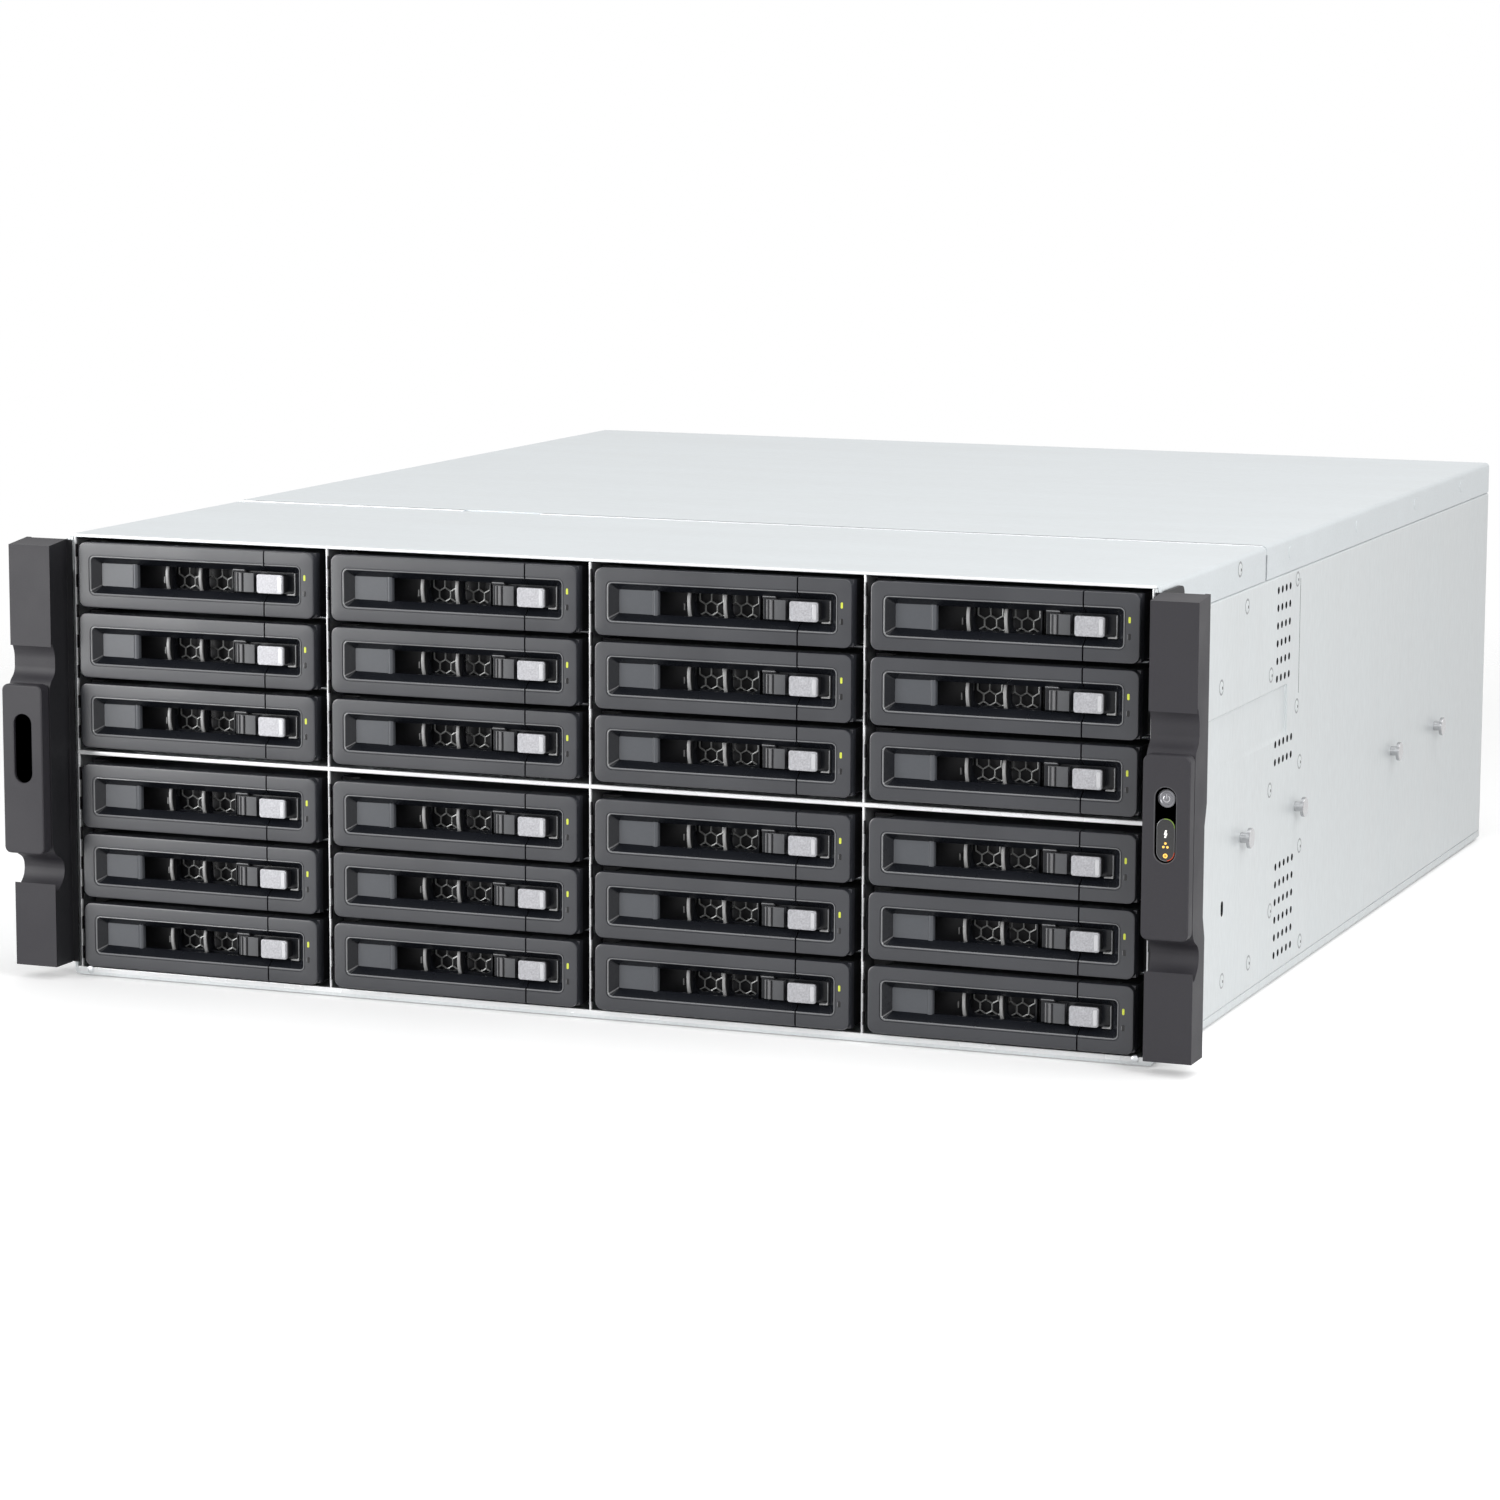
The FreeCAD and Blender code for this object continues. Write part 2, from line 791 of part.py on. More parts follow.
def backplane():
    """Circuit board behind the drives with a connector for each and windows for air."""
    start = front_y + backplane_from_front
    end = start + backplane_thickness
    board = box(-cage_half_width, cage_half_width, start, end, sheet + backplane_margin,
                inner_top - backplane_margin)
    windows = []
    connectors = []
    for name, corner in bay_places():
        middle = corner.x + face_width / 2
        left = middle - connector_left_of_centre
        low = corner.z + skirt_inset + connector_clearance
        connectors.append(box(left, left + connector_width,
                              start - backplane_gap - connector_reach, start,
                              low, low + connector_height))
    for column in range(columns):
        middle = (column - (columns - 1) / 2) * column_pitch
        left = middle + backplane_window_left
        for bank in range(banks):
            low = bottom_margin + bank * (bank_height + bank_gap) + backplane_window_margin
            high = low + bank_height - 2 * backplane_window_margin
            windows.append(box(left, left + backplane_window_width, start, end, low, high))
    return [board.cut(Part.makeCompound(windows))] + connectors


def fan_centres():
    return [(number - (fan_count - 1) / 2) * fan_pitch for number in range(fan_count)]


def fan_frame(x, z, start):
    """Square fan frame with a round duct, and a strut behind it that seats the hub."""
    half = fan_size / 2
    end = start + fan_depth
    frame_end = end - strut_depth
    duct = upright_prism(regular(x, z, half - fan_wall_thickness, fan_duct_sides),
                         start, frame_end)
    frame = box(x - half, x + half, start, frame_end, z - half, z + half).cut(duct)
    strut = box(x - half, x + half, frame_end, end, z - strut_width / 2, z + strut_width / 2)
    return [frame, strut]


def fan_rotor(x, z, start):
    """Hub with pitched blades."""
    tip = fan_size / 2 - fan_wall_thickness - fan_tip_clearance
    end = start + fan_depth - strut_depth
    hub_start = start + strut_depth
    hub = upright_prism(regular(x, z, fan_hub_radius, fan_hub_sides), hub_start, end)
    middle_y = (hub_start + end) / 2
    blade = Part.makeBox(tip - fan_hub_radius / 2, blade_depth, blade_thickness,
                         vector(fan_hub_radius / 2, -blade_depth / 2, -blade_thickness / 2))
    blade.rotate(vector(0, 0, 0), vector(1, 0, 0), blade_pitch_angle)
    blades = []
    for number in range(blade_count):
        turned = blade.copy()
        turned.rotate(vector(0, 0, 0), vector(0, 1, 0), number * 360 / blade_count)
        turned.translate(vector(x, middle_y, z))
        blades.append(turned)
    return join([hub] + blades)


def fan_wall():
    """Bracket across the chassis with the fans behind it."""
    start = front_y + fan_from_front
    half = fan_size / 2
    z = sheet + half
    bracket = box(-cage_half_width, cage_half_width, start - sheet, start,
                  sheet, sheet + fan_bracket_height)
    windows = []
    for x in fan_centres():
        reach = half - fan_window_margin
        windows.append(box(x - reach, x + reach, start - sheet, start, z - reach, z + reach))
    pieces = [bracket.cut(Part.makeCompound(windows))]
    for x in fan_centres():
        pieces += fan_frame(x, z, start)
        pieces.append(fan_rotor(x, z, start))
    return pieces


def port_span():
    """Left and right edge of the port window."""
    left = board_left + board_width - port_count * port_pitch - port_window_margin
    return left, board_left + board_width + port_window_margin


def port_rise():
    """Bottom and top of the stacked sockets."""
    return board_top, board_top + 2 * port_row_height + port_row_gap


def heatsink():
    """Finned block cut as one comb-shaped outline."""
    x0 = board_left + board_width / 2 - heatsink_width / 2
    y0 = board_rear - board_length / 2 - heatsink_length / 2
    base_top = board_top + heatsink_base
    top = board_top + heatsink_height
    pitch = (heatsink_width - heatsink_fin_thickness) / (heatsink_fins - 1)
    outline = [(x0, y0, board_top)]
    for number in range(heatsink_fins):
        left = x0 + number * pitch
        right = left + heatsink_fin_thickness
        if number > 0:
            outline.append((left, y0, base_top))
        outline.append((left, y0, top))
        outline.append((right, y0, top))
        if number < heatsink_fins - 1:
            outline.append((right, y0, base_top))
    outline.append((x0 + heatsink_width, y0, board_top))
    return prism(outline, vector(0, heatsink_length, 0))


def memory_modules():
    """Memory modules standing in their sockets beside the heat sink."""
    pieces = []
    y0 = board_rear - board_length / 2 - memory_length / 2
    for number in range(memory_count):
        x = board_left + standoff_inset * 2 + number * memory_pitch
        pieces.append(box(x - socket_width / 2, x + socket_width / 2, y0, y0 + memory_length,
                          board_top, board_top + socket_height))
        pieces.append(box(x - memory_thickness / 2, x + memory_thickness / 2, y0,
                          y0 + memory_length, board_top + socket_height,
                          board_top + socket_height + memory_height))
    return pieces


def ports():
    """Stacked pairs of sockets that show in the port window."""
    pieces = []
    low, high = port_rise()
    left = port_span()[0] + port_window_margin
    for number in range(port_count):
        x = left + number * port_pitch
        housing = box(x, x + port_width, rear_y - port_reach, rear_y, low, high)
        for row in range(2):
            z = low + row * (port_row_height + port_row_gap)
            housing = housing.cut(box(x + port_wall, x + port_width - port_wall,
                                      rear_y - port_recess, rear_y,
                                      z + port_wall, z + port_row_height - port_wall))
        pieces.append(housing)
    return pieces


def mainboard():
    """Main circuit board on its standoffs, with what stands on it."""
    right = board_left + board_width
    front = board_rear - board_length
    board = box(board_left, right, front, board_rear, board_top - board_thickness, board_top)
    pieces = [board, heatsink()]
    for x in (board_left + standoff_inset, right - standoff_inset):
        for y in (front + standoff_inset, board_rear - standoff_inset):
            pieces.append(flat_prism(regular(x, y, standoff_radius, standoff_sides),
                                     sheet, sheet + board_height))
    return pieces + memory_modules() + ports()


def power_supply(number):
    """Hot-swap power supply with its inlet, fan recess, pull handle and latch tab."""
    low = sheet + number * psu_pitch + psu_clearance
    high = low + psu_height
    start = rear_y - psu_length
    middle = (low + high) / 2
    body = box(psu_left, psu_right, start, rear_y, low, high)
    inlet_left = psu_right - inlet_margin - inlet_width
    inlet = box(inlet_left, inlet_left + inlet_width, rear_y - inlet_depth, rear_y,
                middle - inlet_height / 2, middle + inlet_height / 2)
    fan_x = psu_left + psu_fan_from_side
    recess = upright_prism(regular(fan_x, middle, psu_fan_radius, psu_fan_sides),
                           rear_y - psu_fan_recess, rear_y)
    body = body.cut(inlet).cut(recess)
    pins = []
    for place in (-1, 0, 1):
        x = inlet_left + inlet_width / 2 + place * inlet_pin_pitch
        pins.append(box(x - inlet_pin_width / 2, x + inlet_pin_width / 2,
                        rear_y - inlet_depth, rear_y - inlet_depth + inlet_pin_length,
                        middle - inlet_pin_height / 2, middle + inlet_pin_height / 2))
    return [body, psu_handle(middle), psu_latch_tab(low)] + pins


def psu_handle(middle):
    """Pull handle: an upright bar on two short arms."""
    x = psu_left + handle_from_side
    half = handle_height / 2
    outer = box(x, x + handle_width, rear_y, rear_y + handle_reach, middle - half, middle + half)
    gap = box(x, x + handle_width, rear_y, rear_y + handle_reach - handle_thickness,
              middle - half + handle_thickness, middle + half - handle_thickness)
    return outer.cut(gap)


def psu_latch_tab(low):
    """Sprung tab that frees the power supply."""
    x = psu_left
    outline = [
        (x, rear_y, low),
        (x + latch_tab_width, rear_y, low),
        (x + latch_tab_width, rear_y + latch_tab_reach, low),
        (x + latch_tab_width / 2, rear_y + latch_tab_reach, low),
    ]
    return prism(outline, vector(0, 0, latch_tab_height))


# Ears are drawn for the right side and mirrored for the left.

def ear_flange_box():
    """The part of the steel angle that lies against the rack."""
    return box(half_width + ear_joint, ear_end - ear_side_wall,
               front_y - ear_flange, front_y, ear_bottom, ear_top)


def ear_bracket():
    """Steel angle: a flange for the rack and a leg along the chassis side."""
    corner = bracket_leg_corner
    centre_y = front_y + bracket_leg - corner
    pairs = [(front_y - ear_flange, ear_top), (front_y - ear_flange, ear_bottom)]
    pairs += arc_points(centre_y, ear_bottom + corner, corner, 270, 360, corner_steps)
    pairs += arc_points(centre_y, ear_top - corner, corner, 0, 90, corner_steps)
    leg = side_prism(pairs, half_width, half_width + bracket_thickness)
    bracket = join([ear_flange_box(), leg])
    for z in rack_hole_heights():
        hole = rod(rack_hole_radius, vector(rack_hole_x, front_y - ear_flange, z),
                   vector(rack_hole_x, front_y, z))
        bracket = bracket.cut(hole)
    return bracket


def rack_hole_heights():
    middle = chassis_height / 2
    return (middle - rack_hole_pitch_z / 2, middle + rack_hole_pitch_z / 2)


def ear_cover():
    """Moulded cover over the flange, stepped at its waist and neck, with room for bolt heads."""
    front = front_y - ear_stand_off
    waist = front + ear_waist_recess
    neck = front + ear_neck_recess
    behind_grip = front_y - grip_stand_off + grip_thickness
    foot_top = ear_bottom + ear_foot_height
    neck_top = grip_top + ear_neck_height
    recess_top = ear_back_recess_bottom + ear_back_recess_height
    profile = [
        (front_y, ear_bottom),
        (front, ear_bottom),
        (front, foot_top),
        (waist, foot_top + ear_slope_height),
        (waist, grip_bottom - ear_slope_height / 2),
        (behind_grip, grip_bottom),
        (behind_grip, grip_top),
        (neck, grip_top + ear_slope_height / 2),
        (neck, neck_top),
        (front, neck_top + ear_slope_height),
        (front, ear_top),
        (front_y, ear_top),
        (front_y, recess_top + ear_back_slope),
        (front_y - ear_back_recess, recess_top),
        (front_y - ear_back_recess, ear_back_recess_bottom),
        (front_y, ear_back_recess_bottom - ear_back_slope),
    ]
    cover = side_prism(profile, half_width + ear_joint, ear_end)
    pockets = [ear_flange_box()]
    half = bolt_pocket / 2
    back = front_y - ear_flange
    for z in rack_hole_heights():
        pockets.append(box(rack_hole_x - half, rack_hole_x + half, back - bolt_pocket_depth, back,
                           z - half, z + half))
    return cover.cut(join(pockets))


def grip_centre():
    return (half_width + ear_joint + ear_end) / 2


def grip_plate():
    """Rounded plate that the hand pulls on, with an upright slot sunk in its front."""
    x0 = half_width + ear_joint + grip_inset
    x1 = ear_end
    front = front_y - grip_stand_off
    left = x0 + grip_corner
    right = x1 - grip_corner
    low = grip_bottom + grip_corner
    high = grip_top - grip_corner
    pairs = arc_points(right, high, grip_corner, 0, 90, corner_steps)
    pairs += arc_points(left, high, grip_corner, 90, 180, corner_steps)
    pairs += arc_points(left, low, grip_corner, 180, 270, corner_steps)
    pairs += arc_points(right, low, grip_corner, 270, 360, corner_steps)
    plate = upright_prism(pairs, front, front + grip_thickness)
    slot_top = grip_top - grip_slot_top_margin
    return plate.cut(stadium(grip_centre(), slot_top - grip_slot_height, slot_top,
                             grip_slot_width, front, front + grip_slot_depth))


def power_button_centre():
    """Centre of the button where it comes out of the slot's floor."""
    z = grip_top - grip_slot_top_margin - power_button_below_slot_top
    return vector(grip_centre(), front_y - grip_stand_off + grip_slot_depth, z)


def power_button():
    centre = power_button_centre()
    start = centre - vector(0, power_button_proud, 0)
    return [rod(power_button_radius, start, start + vector(0, power_button_length, 0))]


def status_window():
    """Lens over the status lights, in the lower part of the slot."""
    floor = front_y - grip_stand_off + grip_slot_depth
    bottom = grip_top - grip_slot_top_margin - grip_slot_height + window_light_bottom_margin
    width = grip_slot_width - 2 * window_light_bottom_margin
    return stadium(grip_centre(), bottom, bottom + window_light_height, width,
                   floor - window_light_thickness, floor)


def right_ear():
    """Bracket, cover and grip plate with the power button's hole, and the status window."""
    centre = power_button_centre()
    depth = power_button_length + power_button_travel + window_light_clearance
    hole = rod(power_button_radius + power_button_clearance, centre, centre + vector(0, depth, 0))
    return [ear_bracket(), ear_cover(), grip_plate().cut(hole), status_window()]


def left_ear():
    pieces = [ear_bracket(), ear_cover(), grip_plate()]
    return [piece.mirror(vector(0, 0, 0), vector(1, 0, 0)) for piece in pieces]


def export(name, solids):
    """Writes one sub-part, whose pieces stay separate solids."""
    shape = solids[0] if len(solids) == 1 else Part.makeCompound(solids)
    shape.exportStep(f"parts/{name}.step")


def build():
    os.makedirs("parts", exist_ok=True)
    one_tray = Part.makeCompound(tray())
    one_lever = lever()[0]
    for name, corner in bay_places():
        export(f"tray_{name}", [one_tray.translated(corner)])
        export(f"lever_{name}", [one_lever.translated(corner)])
    export("chassis", chassis())
    export("front_top_panel", front_top_panel())
    export("top_cover", top_cover())
    export("drive_cage", drive_cage())
    export("backplane", backplane())
    export("fan_wall", fan_wall())
    export("mainboard", mainboard())
    export("psu_lower", power_supply(0))
    export("psu_upper", power_supply(1))
    export("left_ear", left_ear())
    export("right_ear", right_ear())
    export("power_button", power_button())


build()
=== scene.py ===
import math

import bmesh
import bpy
from mathutils import Matrix, Vector


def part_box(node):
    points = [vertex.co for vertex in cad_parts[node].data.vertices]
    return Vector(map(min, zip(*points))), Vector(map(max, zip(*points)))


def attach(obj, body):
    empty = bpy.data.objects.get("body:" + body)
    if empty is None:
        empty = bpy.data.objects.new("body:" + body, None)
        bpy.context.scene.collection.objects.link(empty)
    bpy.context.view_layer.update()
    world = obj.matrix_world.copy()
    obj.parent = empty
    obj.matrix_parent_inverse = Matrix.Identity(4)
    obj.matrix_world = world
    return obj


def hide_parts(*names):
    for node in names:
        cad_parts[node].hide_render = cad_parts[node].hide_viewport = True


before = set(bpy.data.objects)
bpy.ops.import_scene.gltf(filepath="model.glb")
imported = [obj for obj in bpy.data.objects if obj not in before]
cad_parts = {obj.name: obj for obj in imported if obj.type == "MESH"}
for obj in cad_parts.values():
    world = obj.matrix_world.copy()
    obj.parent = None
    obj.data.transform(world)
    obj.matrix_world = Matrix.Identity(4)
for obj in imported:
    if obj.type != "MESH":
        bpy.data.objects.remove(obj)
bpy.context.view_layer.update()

# Rack-mount storage server with 24 drive trays.
# Meshes are drawn in millimetres and scaled to metres when they are made.
# Inside a tray, u runs to the right, depth to the rear and v up,
# from the lower left corner of the tray's face.
MM = 0.001


def box_of(node):
    """A node's low and high corners in millimetres."""
    return [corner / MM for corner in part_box(node)]


# Tray
face_width = 102.8
face_height = 25.5
face_corner = 3.0
lever_end = 81.15
block_start = 81.75
opening_left = 5.7
opening_right = 96.6
opening_bottom = 5.7
opening_top = 19.8
opening_corner = 1.5
funnel_depth = 3.8
funnel_side = 2.9
funnel_rise = 2.6
inner_bottom = opening_bottom + funnel_rise
inner_top = opening_top - funnel_rise
inner_left = opening_left + funnel_side
inner_right = opening_right - funnel_side
middle_v = face_height / 2
rim = 0.3
bars = ((0.0, opening_bottom - rim), (opening_top + rim, face_height))
bar_depth = 6.0
end_depth = 3.0
pad_end = 24.6
wall_depth = 14.0
wall_edge = 0.6
wall_thickness = 1.2
housing_depth = 5.0
hinge_u = 3.5
hinge_depth = 5.0
pin_radius = 1.0
window_low = 7.0
window_high = 18.5
windows_left = 35.0
windows_middle = 49.5
windows_right = 61.5
rail_reach = 2.6
rail_width = 3.2
carrier_end = 164.0
button_low = middle_v - 3.7
button_high = middle_v + 3.7
drive_width = 101.6
drive_height = 26.1

# Chassis, from the frame and from the sheets it is folded from
front, rear = (corner.y for corner in box_of("chassis"))
cover_low, cover_high = box_of("top_cover")
height = cover_high.z
half_width = cover_high.x
fold_z = cover_low.z
cover_sheet = 1.0
sheet = 1.2
fold_radius = 1.8
edge_end = half_width - fold_radius
seam = front + 142.0
cage_half = 220.3
cage_top = 174.6
shelf = 88.0
cage_back = front + 168.0
column_pitch = 110.0
psu_left, psu_right = (corner.x for corner in box_of("psu_lower"))
psu_gap = 0.6
psu_cage_front = 57.8
psu_cage_middle = 43.4
psu_cage_top = 85.6
slot_first = -193.0
slot_pitch = 20.32
slot_places = [slot_first + number * slot_pitch for number in range(5)]
port_left = -35.0
port_right = 91.0

# Places in the chassis sides, as distances from the front and heights
stud_height = 66.5
stud_places = (113.0, 193.0, 352.0, 432.0)
screw_places = ((116, 155.4), (81.7, 128.6), (152.5, 124.4), (189.9, 158.1), (192.3, 107.1),
                (153.8, 78.8), (198.6, 83.8), (201.2, 49.3), (157.6, 30.2), (204.9, 9.6),
                (127.4, 14.9), (89.8, 14.8))
panel_screw = (104.7, 170.8)
boss_places = (180.2, 286.6, 388.8, 475.6)

# Ears
ear_inner = half_width + 0.2
ear_outer = 241.3
ear_bottom = 4.9
ear_top = 173.7
ear_top_fall = 1.6
ear_front = front - 14.3
ear_waist = ear_front + 7.5
ear_neck = ear_front + 3.0
flange_outer = ear_outer - 2.0
flange_front = front - 2.0
grip_front = front - 21.8
grip_back = grip_front + 6.0
grip_bottom = 51.0
grip_top = 118.0
grip_left = ear_inner + 0.4
grip_middle = (ear_inner + ear_outer) / 2
slot_half = 4.3
slot_bottom = 78.8
slot_top = 106.9
slot_floor = grip_front + 2.0
lens_half = 3.5
lens_bottom = slot_bottom + 0.8
lens_top = lens_bottom + 15.7
lens_front = slot_floor - 1.2
button_height = 102.3
rack_hole_x = 232.55
rack_hole_radius = 3.5
rack_hole_heights = (37.2, 138.8)

# Mainboard
board_top = 9.8


# Shapes

def point_on(plane, a, b, c):
    """Turns drawing coordinates into a place: c is the height above the drawing's plane."""
    if plane == "front":
        return (a, c, b)
    if plane == "side":
        return (c, a, b)
    return (a, b, c)


def arc(centre_a, centre_b, radius, start, end, steps=4):
    """Points along an arc, angles in degrees from the first axis towards the second."""
    points = []
    for number in range(steps + 1):
        angle = math.radians(start + (end - start) * number / steps)
        points.append((centre_a + radius * math.cos(angle), centre_b + radius * math.sin(angle)))
    return points


def circle(centre_a, centre_b, radius, sides=24):
    return arc(centre_a, centre_b, radius, 0, 360 - 360 / sides, sides - 1)


def rounded(left, right, low, high, radius, steps=4):
    """Outline of a rectangle with round corners."""
    return (arc(right - radius, high - radius, radius, 0, 90, steps)
            + arc(left + radius, high - radius, radius, 90, 180, steps)
            + arc(left + radius, low + radius, radius, 180, 270, steps)
            + arc(right - radius, low + radius, radius, 270, 360, steps))


def rectangle(left, right, low, high):
    return [(left, low), (right, low), (right, high), (left, high)]


def filleted(points, radius, steps=4):
    """An outline with every corner rounded, as far as its sides allow."""
    places = [Vector(point) for point in points]
    outline = []
    for number, corner in enumerate(places):
        before = places[number - 1] - corner
        after = places[(number + 1) % len(places)] - corner
        half = before.angle(after) / 2
        reach = min(radius / math.tan(half), before.length * 0.48, after.length * 0.48)
        if half > math.radians(88):
            outline.append(tuple(corner))
            continue
        first = corner + before.normalized() * reach
        last = corner + after.normalized() * reach
        for step in range(steps + 1):
            share = step / steps
            bent = (1 - share) ** 2 * first + 2 * share * (1 - share) * corner + share ** 2 * last
            outline.append(tuple(bent))
    return outline


def slab(outline, low, high, plane="front", bevel=0.0, segments=2):
    """A closed outline swept between two heights, with its sharp edges bevelled."""
    mesh = bmesh.new()
    lower = [mesh.verts.new(point_on(plane, a, b, low)) for a, b in outline]
    upper = [mesh.verts.new(point_on(plane, a, b, high)) for a, b in outline]
    mesh.faces.new(lower)
    mesh.faces.new(upper[::-1])
    for number in range(len(outline)):
        after = (number + 1) % len(outline)
        mesh.faces.new((lower[number], upper[number], upper[after], lower[after]))
    bmesh.ops.recalc_face_normals(mesh, faces=mesh.faces)
    if bevel:
        sharp = [edge for edge in mesh.edges if edge.calc_face_angle(0) > math.radians(35)]
        bmesh.ops.bevel(mesh, geom=sharp, offset=bevel, segments=segments, profile=0.6,
                        affect="EDGES", clamp_overlap=True)
    return mesh


def block(x0, x1, y0, y1, z0, z1, bevel=0.0, segments=2):
    """A bevelled block between two corners."""
    return slab(rectangle(x0, x1, y0, y1), z0, z1, "top", bevel, segments)


def loft(loops, ring=False, closed=True, materials=None):
    """A skin through outlines with as many points each; open outlines get end caps."""
    mesh = bmesh.new()
    rows = [[mesh.verts.new(point) for point in loop] for loop in loops]
    count = len(rows[0])
    pairs = [(row, row + 1) for row in range(len(rows) - 1)]
    if closed:
        pairs.append((len(rows) - 1, 0))
    for row, after_row in pairs:
        for number in range(count if ring else count - 1):
            after = (number + 1) % count
            face = mesh.faces.new((rows[row][number], rows[row][after],
                                   rows[after_row][after], rows[after_row][number]))
            if materials:
                face.material_index = materials[row]
    if not ring:
        mesh.faces.new([row[0] for row in rows])
        mesh.faces.new([row[-1] for row in rows])
    bmesh.ops.recalc_face_normals(mesh, faces=mesh.faces)
    return mesh


def capped(loops):
    """A skin through rings, closed at both ends."""
    mesh = loft(loops, ring=True, closed=False)
    mesh.verts.ensure_lookup_table()
    count = len(loops[0])
    mesh.faces.new(mesh.verts[:count])
    mesh.faces.new(mesh.verts[-count:])
    bmesh.ops.recalc_face_normals(mesh, faces=mesh.faces)
    return mesh


def hoop(centre, radius, side, up, sides):
    """Points on a circle round a place, in the plane of two directions."""
    points = []
    for turn in range(sides):
        angle = 2 * math.pi * turn / sides
        points.append(centre + radius * (math.cos(angle) * side + math.sin(angle) * up))
    return points


def tube(path, radius, sides=6, ring=False):
    """A round bar that follows points, with flat ends or closed to a ring."""
    places = [Vector(point) for point in path]
    loops = []
    for number, place in enumerate(places):
        before = places[number - 1] if number or ring else place
        after = places[(number + 1) % len(places)] if number < len(places) - 1 or ring else place
        along = (after - before).normalized()
        side = along.cross(Vector((0, 1, 0)))
        if side.length < 0.1:
            side = along.cross(Vector((1, 0, 0)))
        side.normalize()
        loops.append(hoop(place, radius, side, side.cross(along), sides))
    return loft(loops, ring=True) if ring else capped(loops)


def dome(x, y, z, radius, lift, direction, sides=16, rings=3):
    """A low round head with its flat side on a surface, such as a screw or stud."""
    normal = Vector(direction).normalized()
    side = normal.cross(Vector((0.3, 0.5, 0.8))).normalized()
    up = normal.cross(side)
    profile = [(1.0, 0.0)]
    for number in range(rings + 1):
        angle = math.radians(90 * number / (rings + 1))
        profile.append((0.92 * math.cos(angle) + 0.03, 0.35 + 0.65 * math.sin(angle)))
    profile.append((0.2, 1.0))
    place = Vector((x, y, z))
    return capped([hoop(place + normal * lift * up_share, radius * share, side, up, sides)
                   for share, up_share in profile])


def joined(name, shapes):
    """One mesh from shapes, which are used up."""
    whole = bmesh.new()
    for shape in shapes:
        part = bpy.data.meshes.new("part")
        shape.to_mesh(part)
        shape.free()
        whole.from_mesh(part)
        bpy.data.meshes.remove(part)
    mesh = bpy.data.meshes.new(name)
    whole.to_mesh(mesh)
    whole.free()
    return mesh


def modified(mesh, kind, **settings):
    """A mesh after a modifier, in place of the mesh before it."""
    name = mesh.name
    thing = bpy.data.objects.new(name, mesh)
    bpy.context.scene.collection.objects.link(thing)
    modifier = thing.modifiers.new(name, kind)
    for setting, value in settings.items():
        setattr(modifier, setting, value)
    seen = thing.evaluated_get(bpy.context.evaluated_depsgraph_get())
    result = bpy.data.meshes.new_from_object(seen)
    bpy.data.objects.remove(thing)
    bpy.data.meshes.remove(mesh)
    result.name = name
    return result


def cut(shape, cutters):
    """A shape with other shapes taken out of it."""
    tool = bpy.data.objects.new("cutter", joined("cutter", cutters))
    bpy.context.scene.collection.objects.link(tool)
    mesh = modified(joined("whole", [shape]), "BOOLEAN", operation="DIFFERENCE", solver="EXACT",
                    object=tool)
    result = bmesh.new()
    result.from_mesh(mesh)
    for used in (tool.data, mesh):
        bpy.data.meshes.remove(used)
    return result


def mirrored(shape):
    """The same shape on the other side of the object."""
    bmesh.ops.scale(shape, vec=(-1, 1, 1), verts=shape.verts)
    bmesh.ops.reverse_faces(shape, faces=shape.faces)
    return shape


def painted(material, shapes):
    return [(shape, material) for shape in shapes]


def on_both_sides(parts):
    """Parts of the right side, with the same ones on the left."""
    return parts + [(mirrored(shape.copy()), material) for shape, material in parts]


# Pieces

def make_mesh(name, parts):
    """One mesh in metres from (shape, material) pairs; a list gives a shape's own materials.

    Its normals follow its large faces, so that these look flat and the bevels carry the bend.
    """
    materials = []
    for shape, own in parts:
        finishes = own if isinstance(own, list) else [own]
        materials += [item for item in finishes if item not in materials]
        slots = [materials.index(item) for item in finishes]
        for face in shape.faces:
            face.material_index = slots[min(face.material_index, len(slots) - 1)]
            face.smooth = True
    mesh = joined(name, [shape for shape, _ in parts])
    mesh.transform(Matrix.Scale(MM, 4))
    for material in materials:
        mesh.materials.append(material)
    mesh.set_sharp_from_angle(angle=math.radians(32))
    return modified(mesh, "WEIGHTED_NORMAL", keep_sharp=True, weight=80)


def add_piece(name, mesh, body, replaced=(), place=(0, 0, 0)):
    """Shows a mesh, or the parts of one, as a piece that moves with a body."""
    if isinstance(mesh, list):
        mesh = make_mesh(name, mesh)
    piece = bpy.data.objects.new(name, mesh)
    bpy.context.scene.collection.objects.link(piece)
    piece.location = place
    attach(piece, body)
    if replaced:
        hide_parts(*replaced)


# Materials

def add_node(nodes, kind, **values):
    """A shader node with the values of its inputs."""
    node = nodes.new("ShaderNode" + kind)
    for name, value in values.items():
        node.inputs[name.replace("_", " ")].default_value = value
    return node


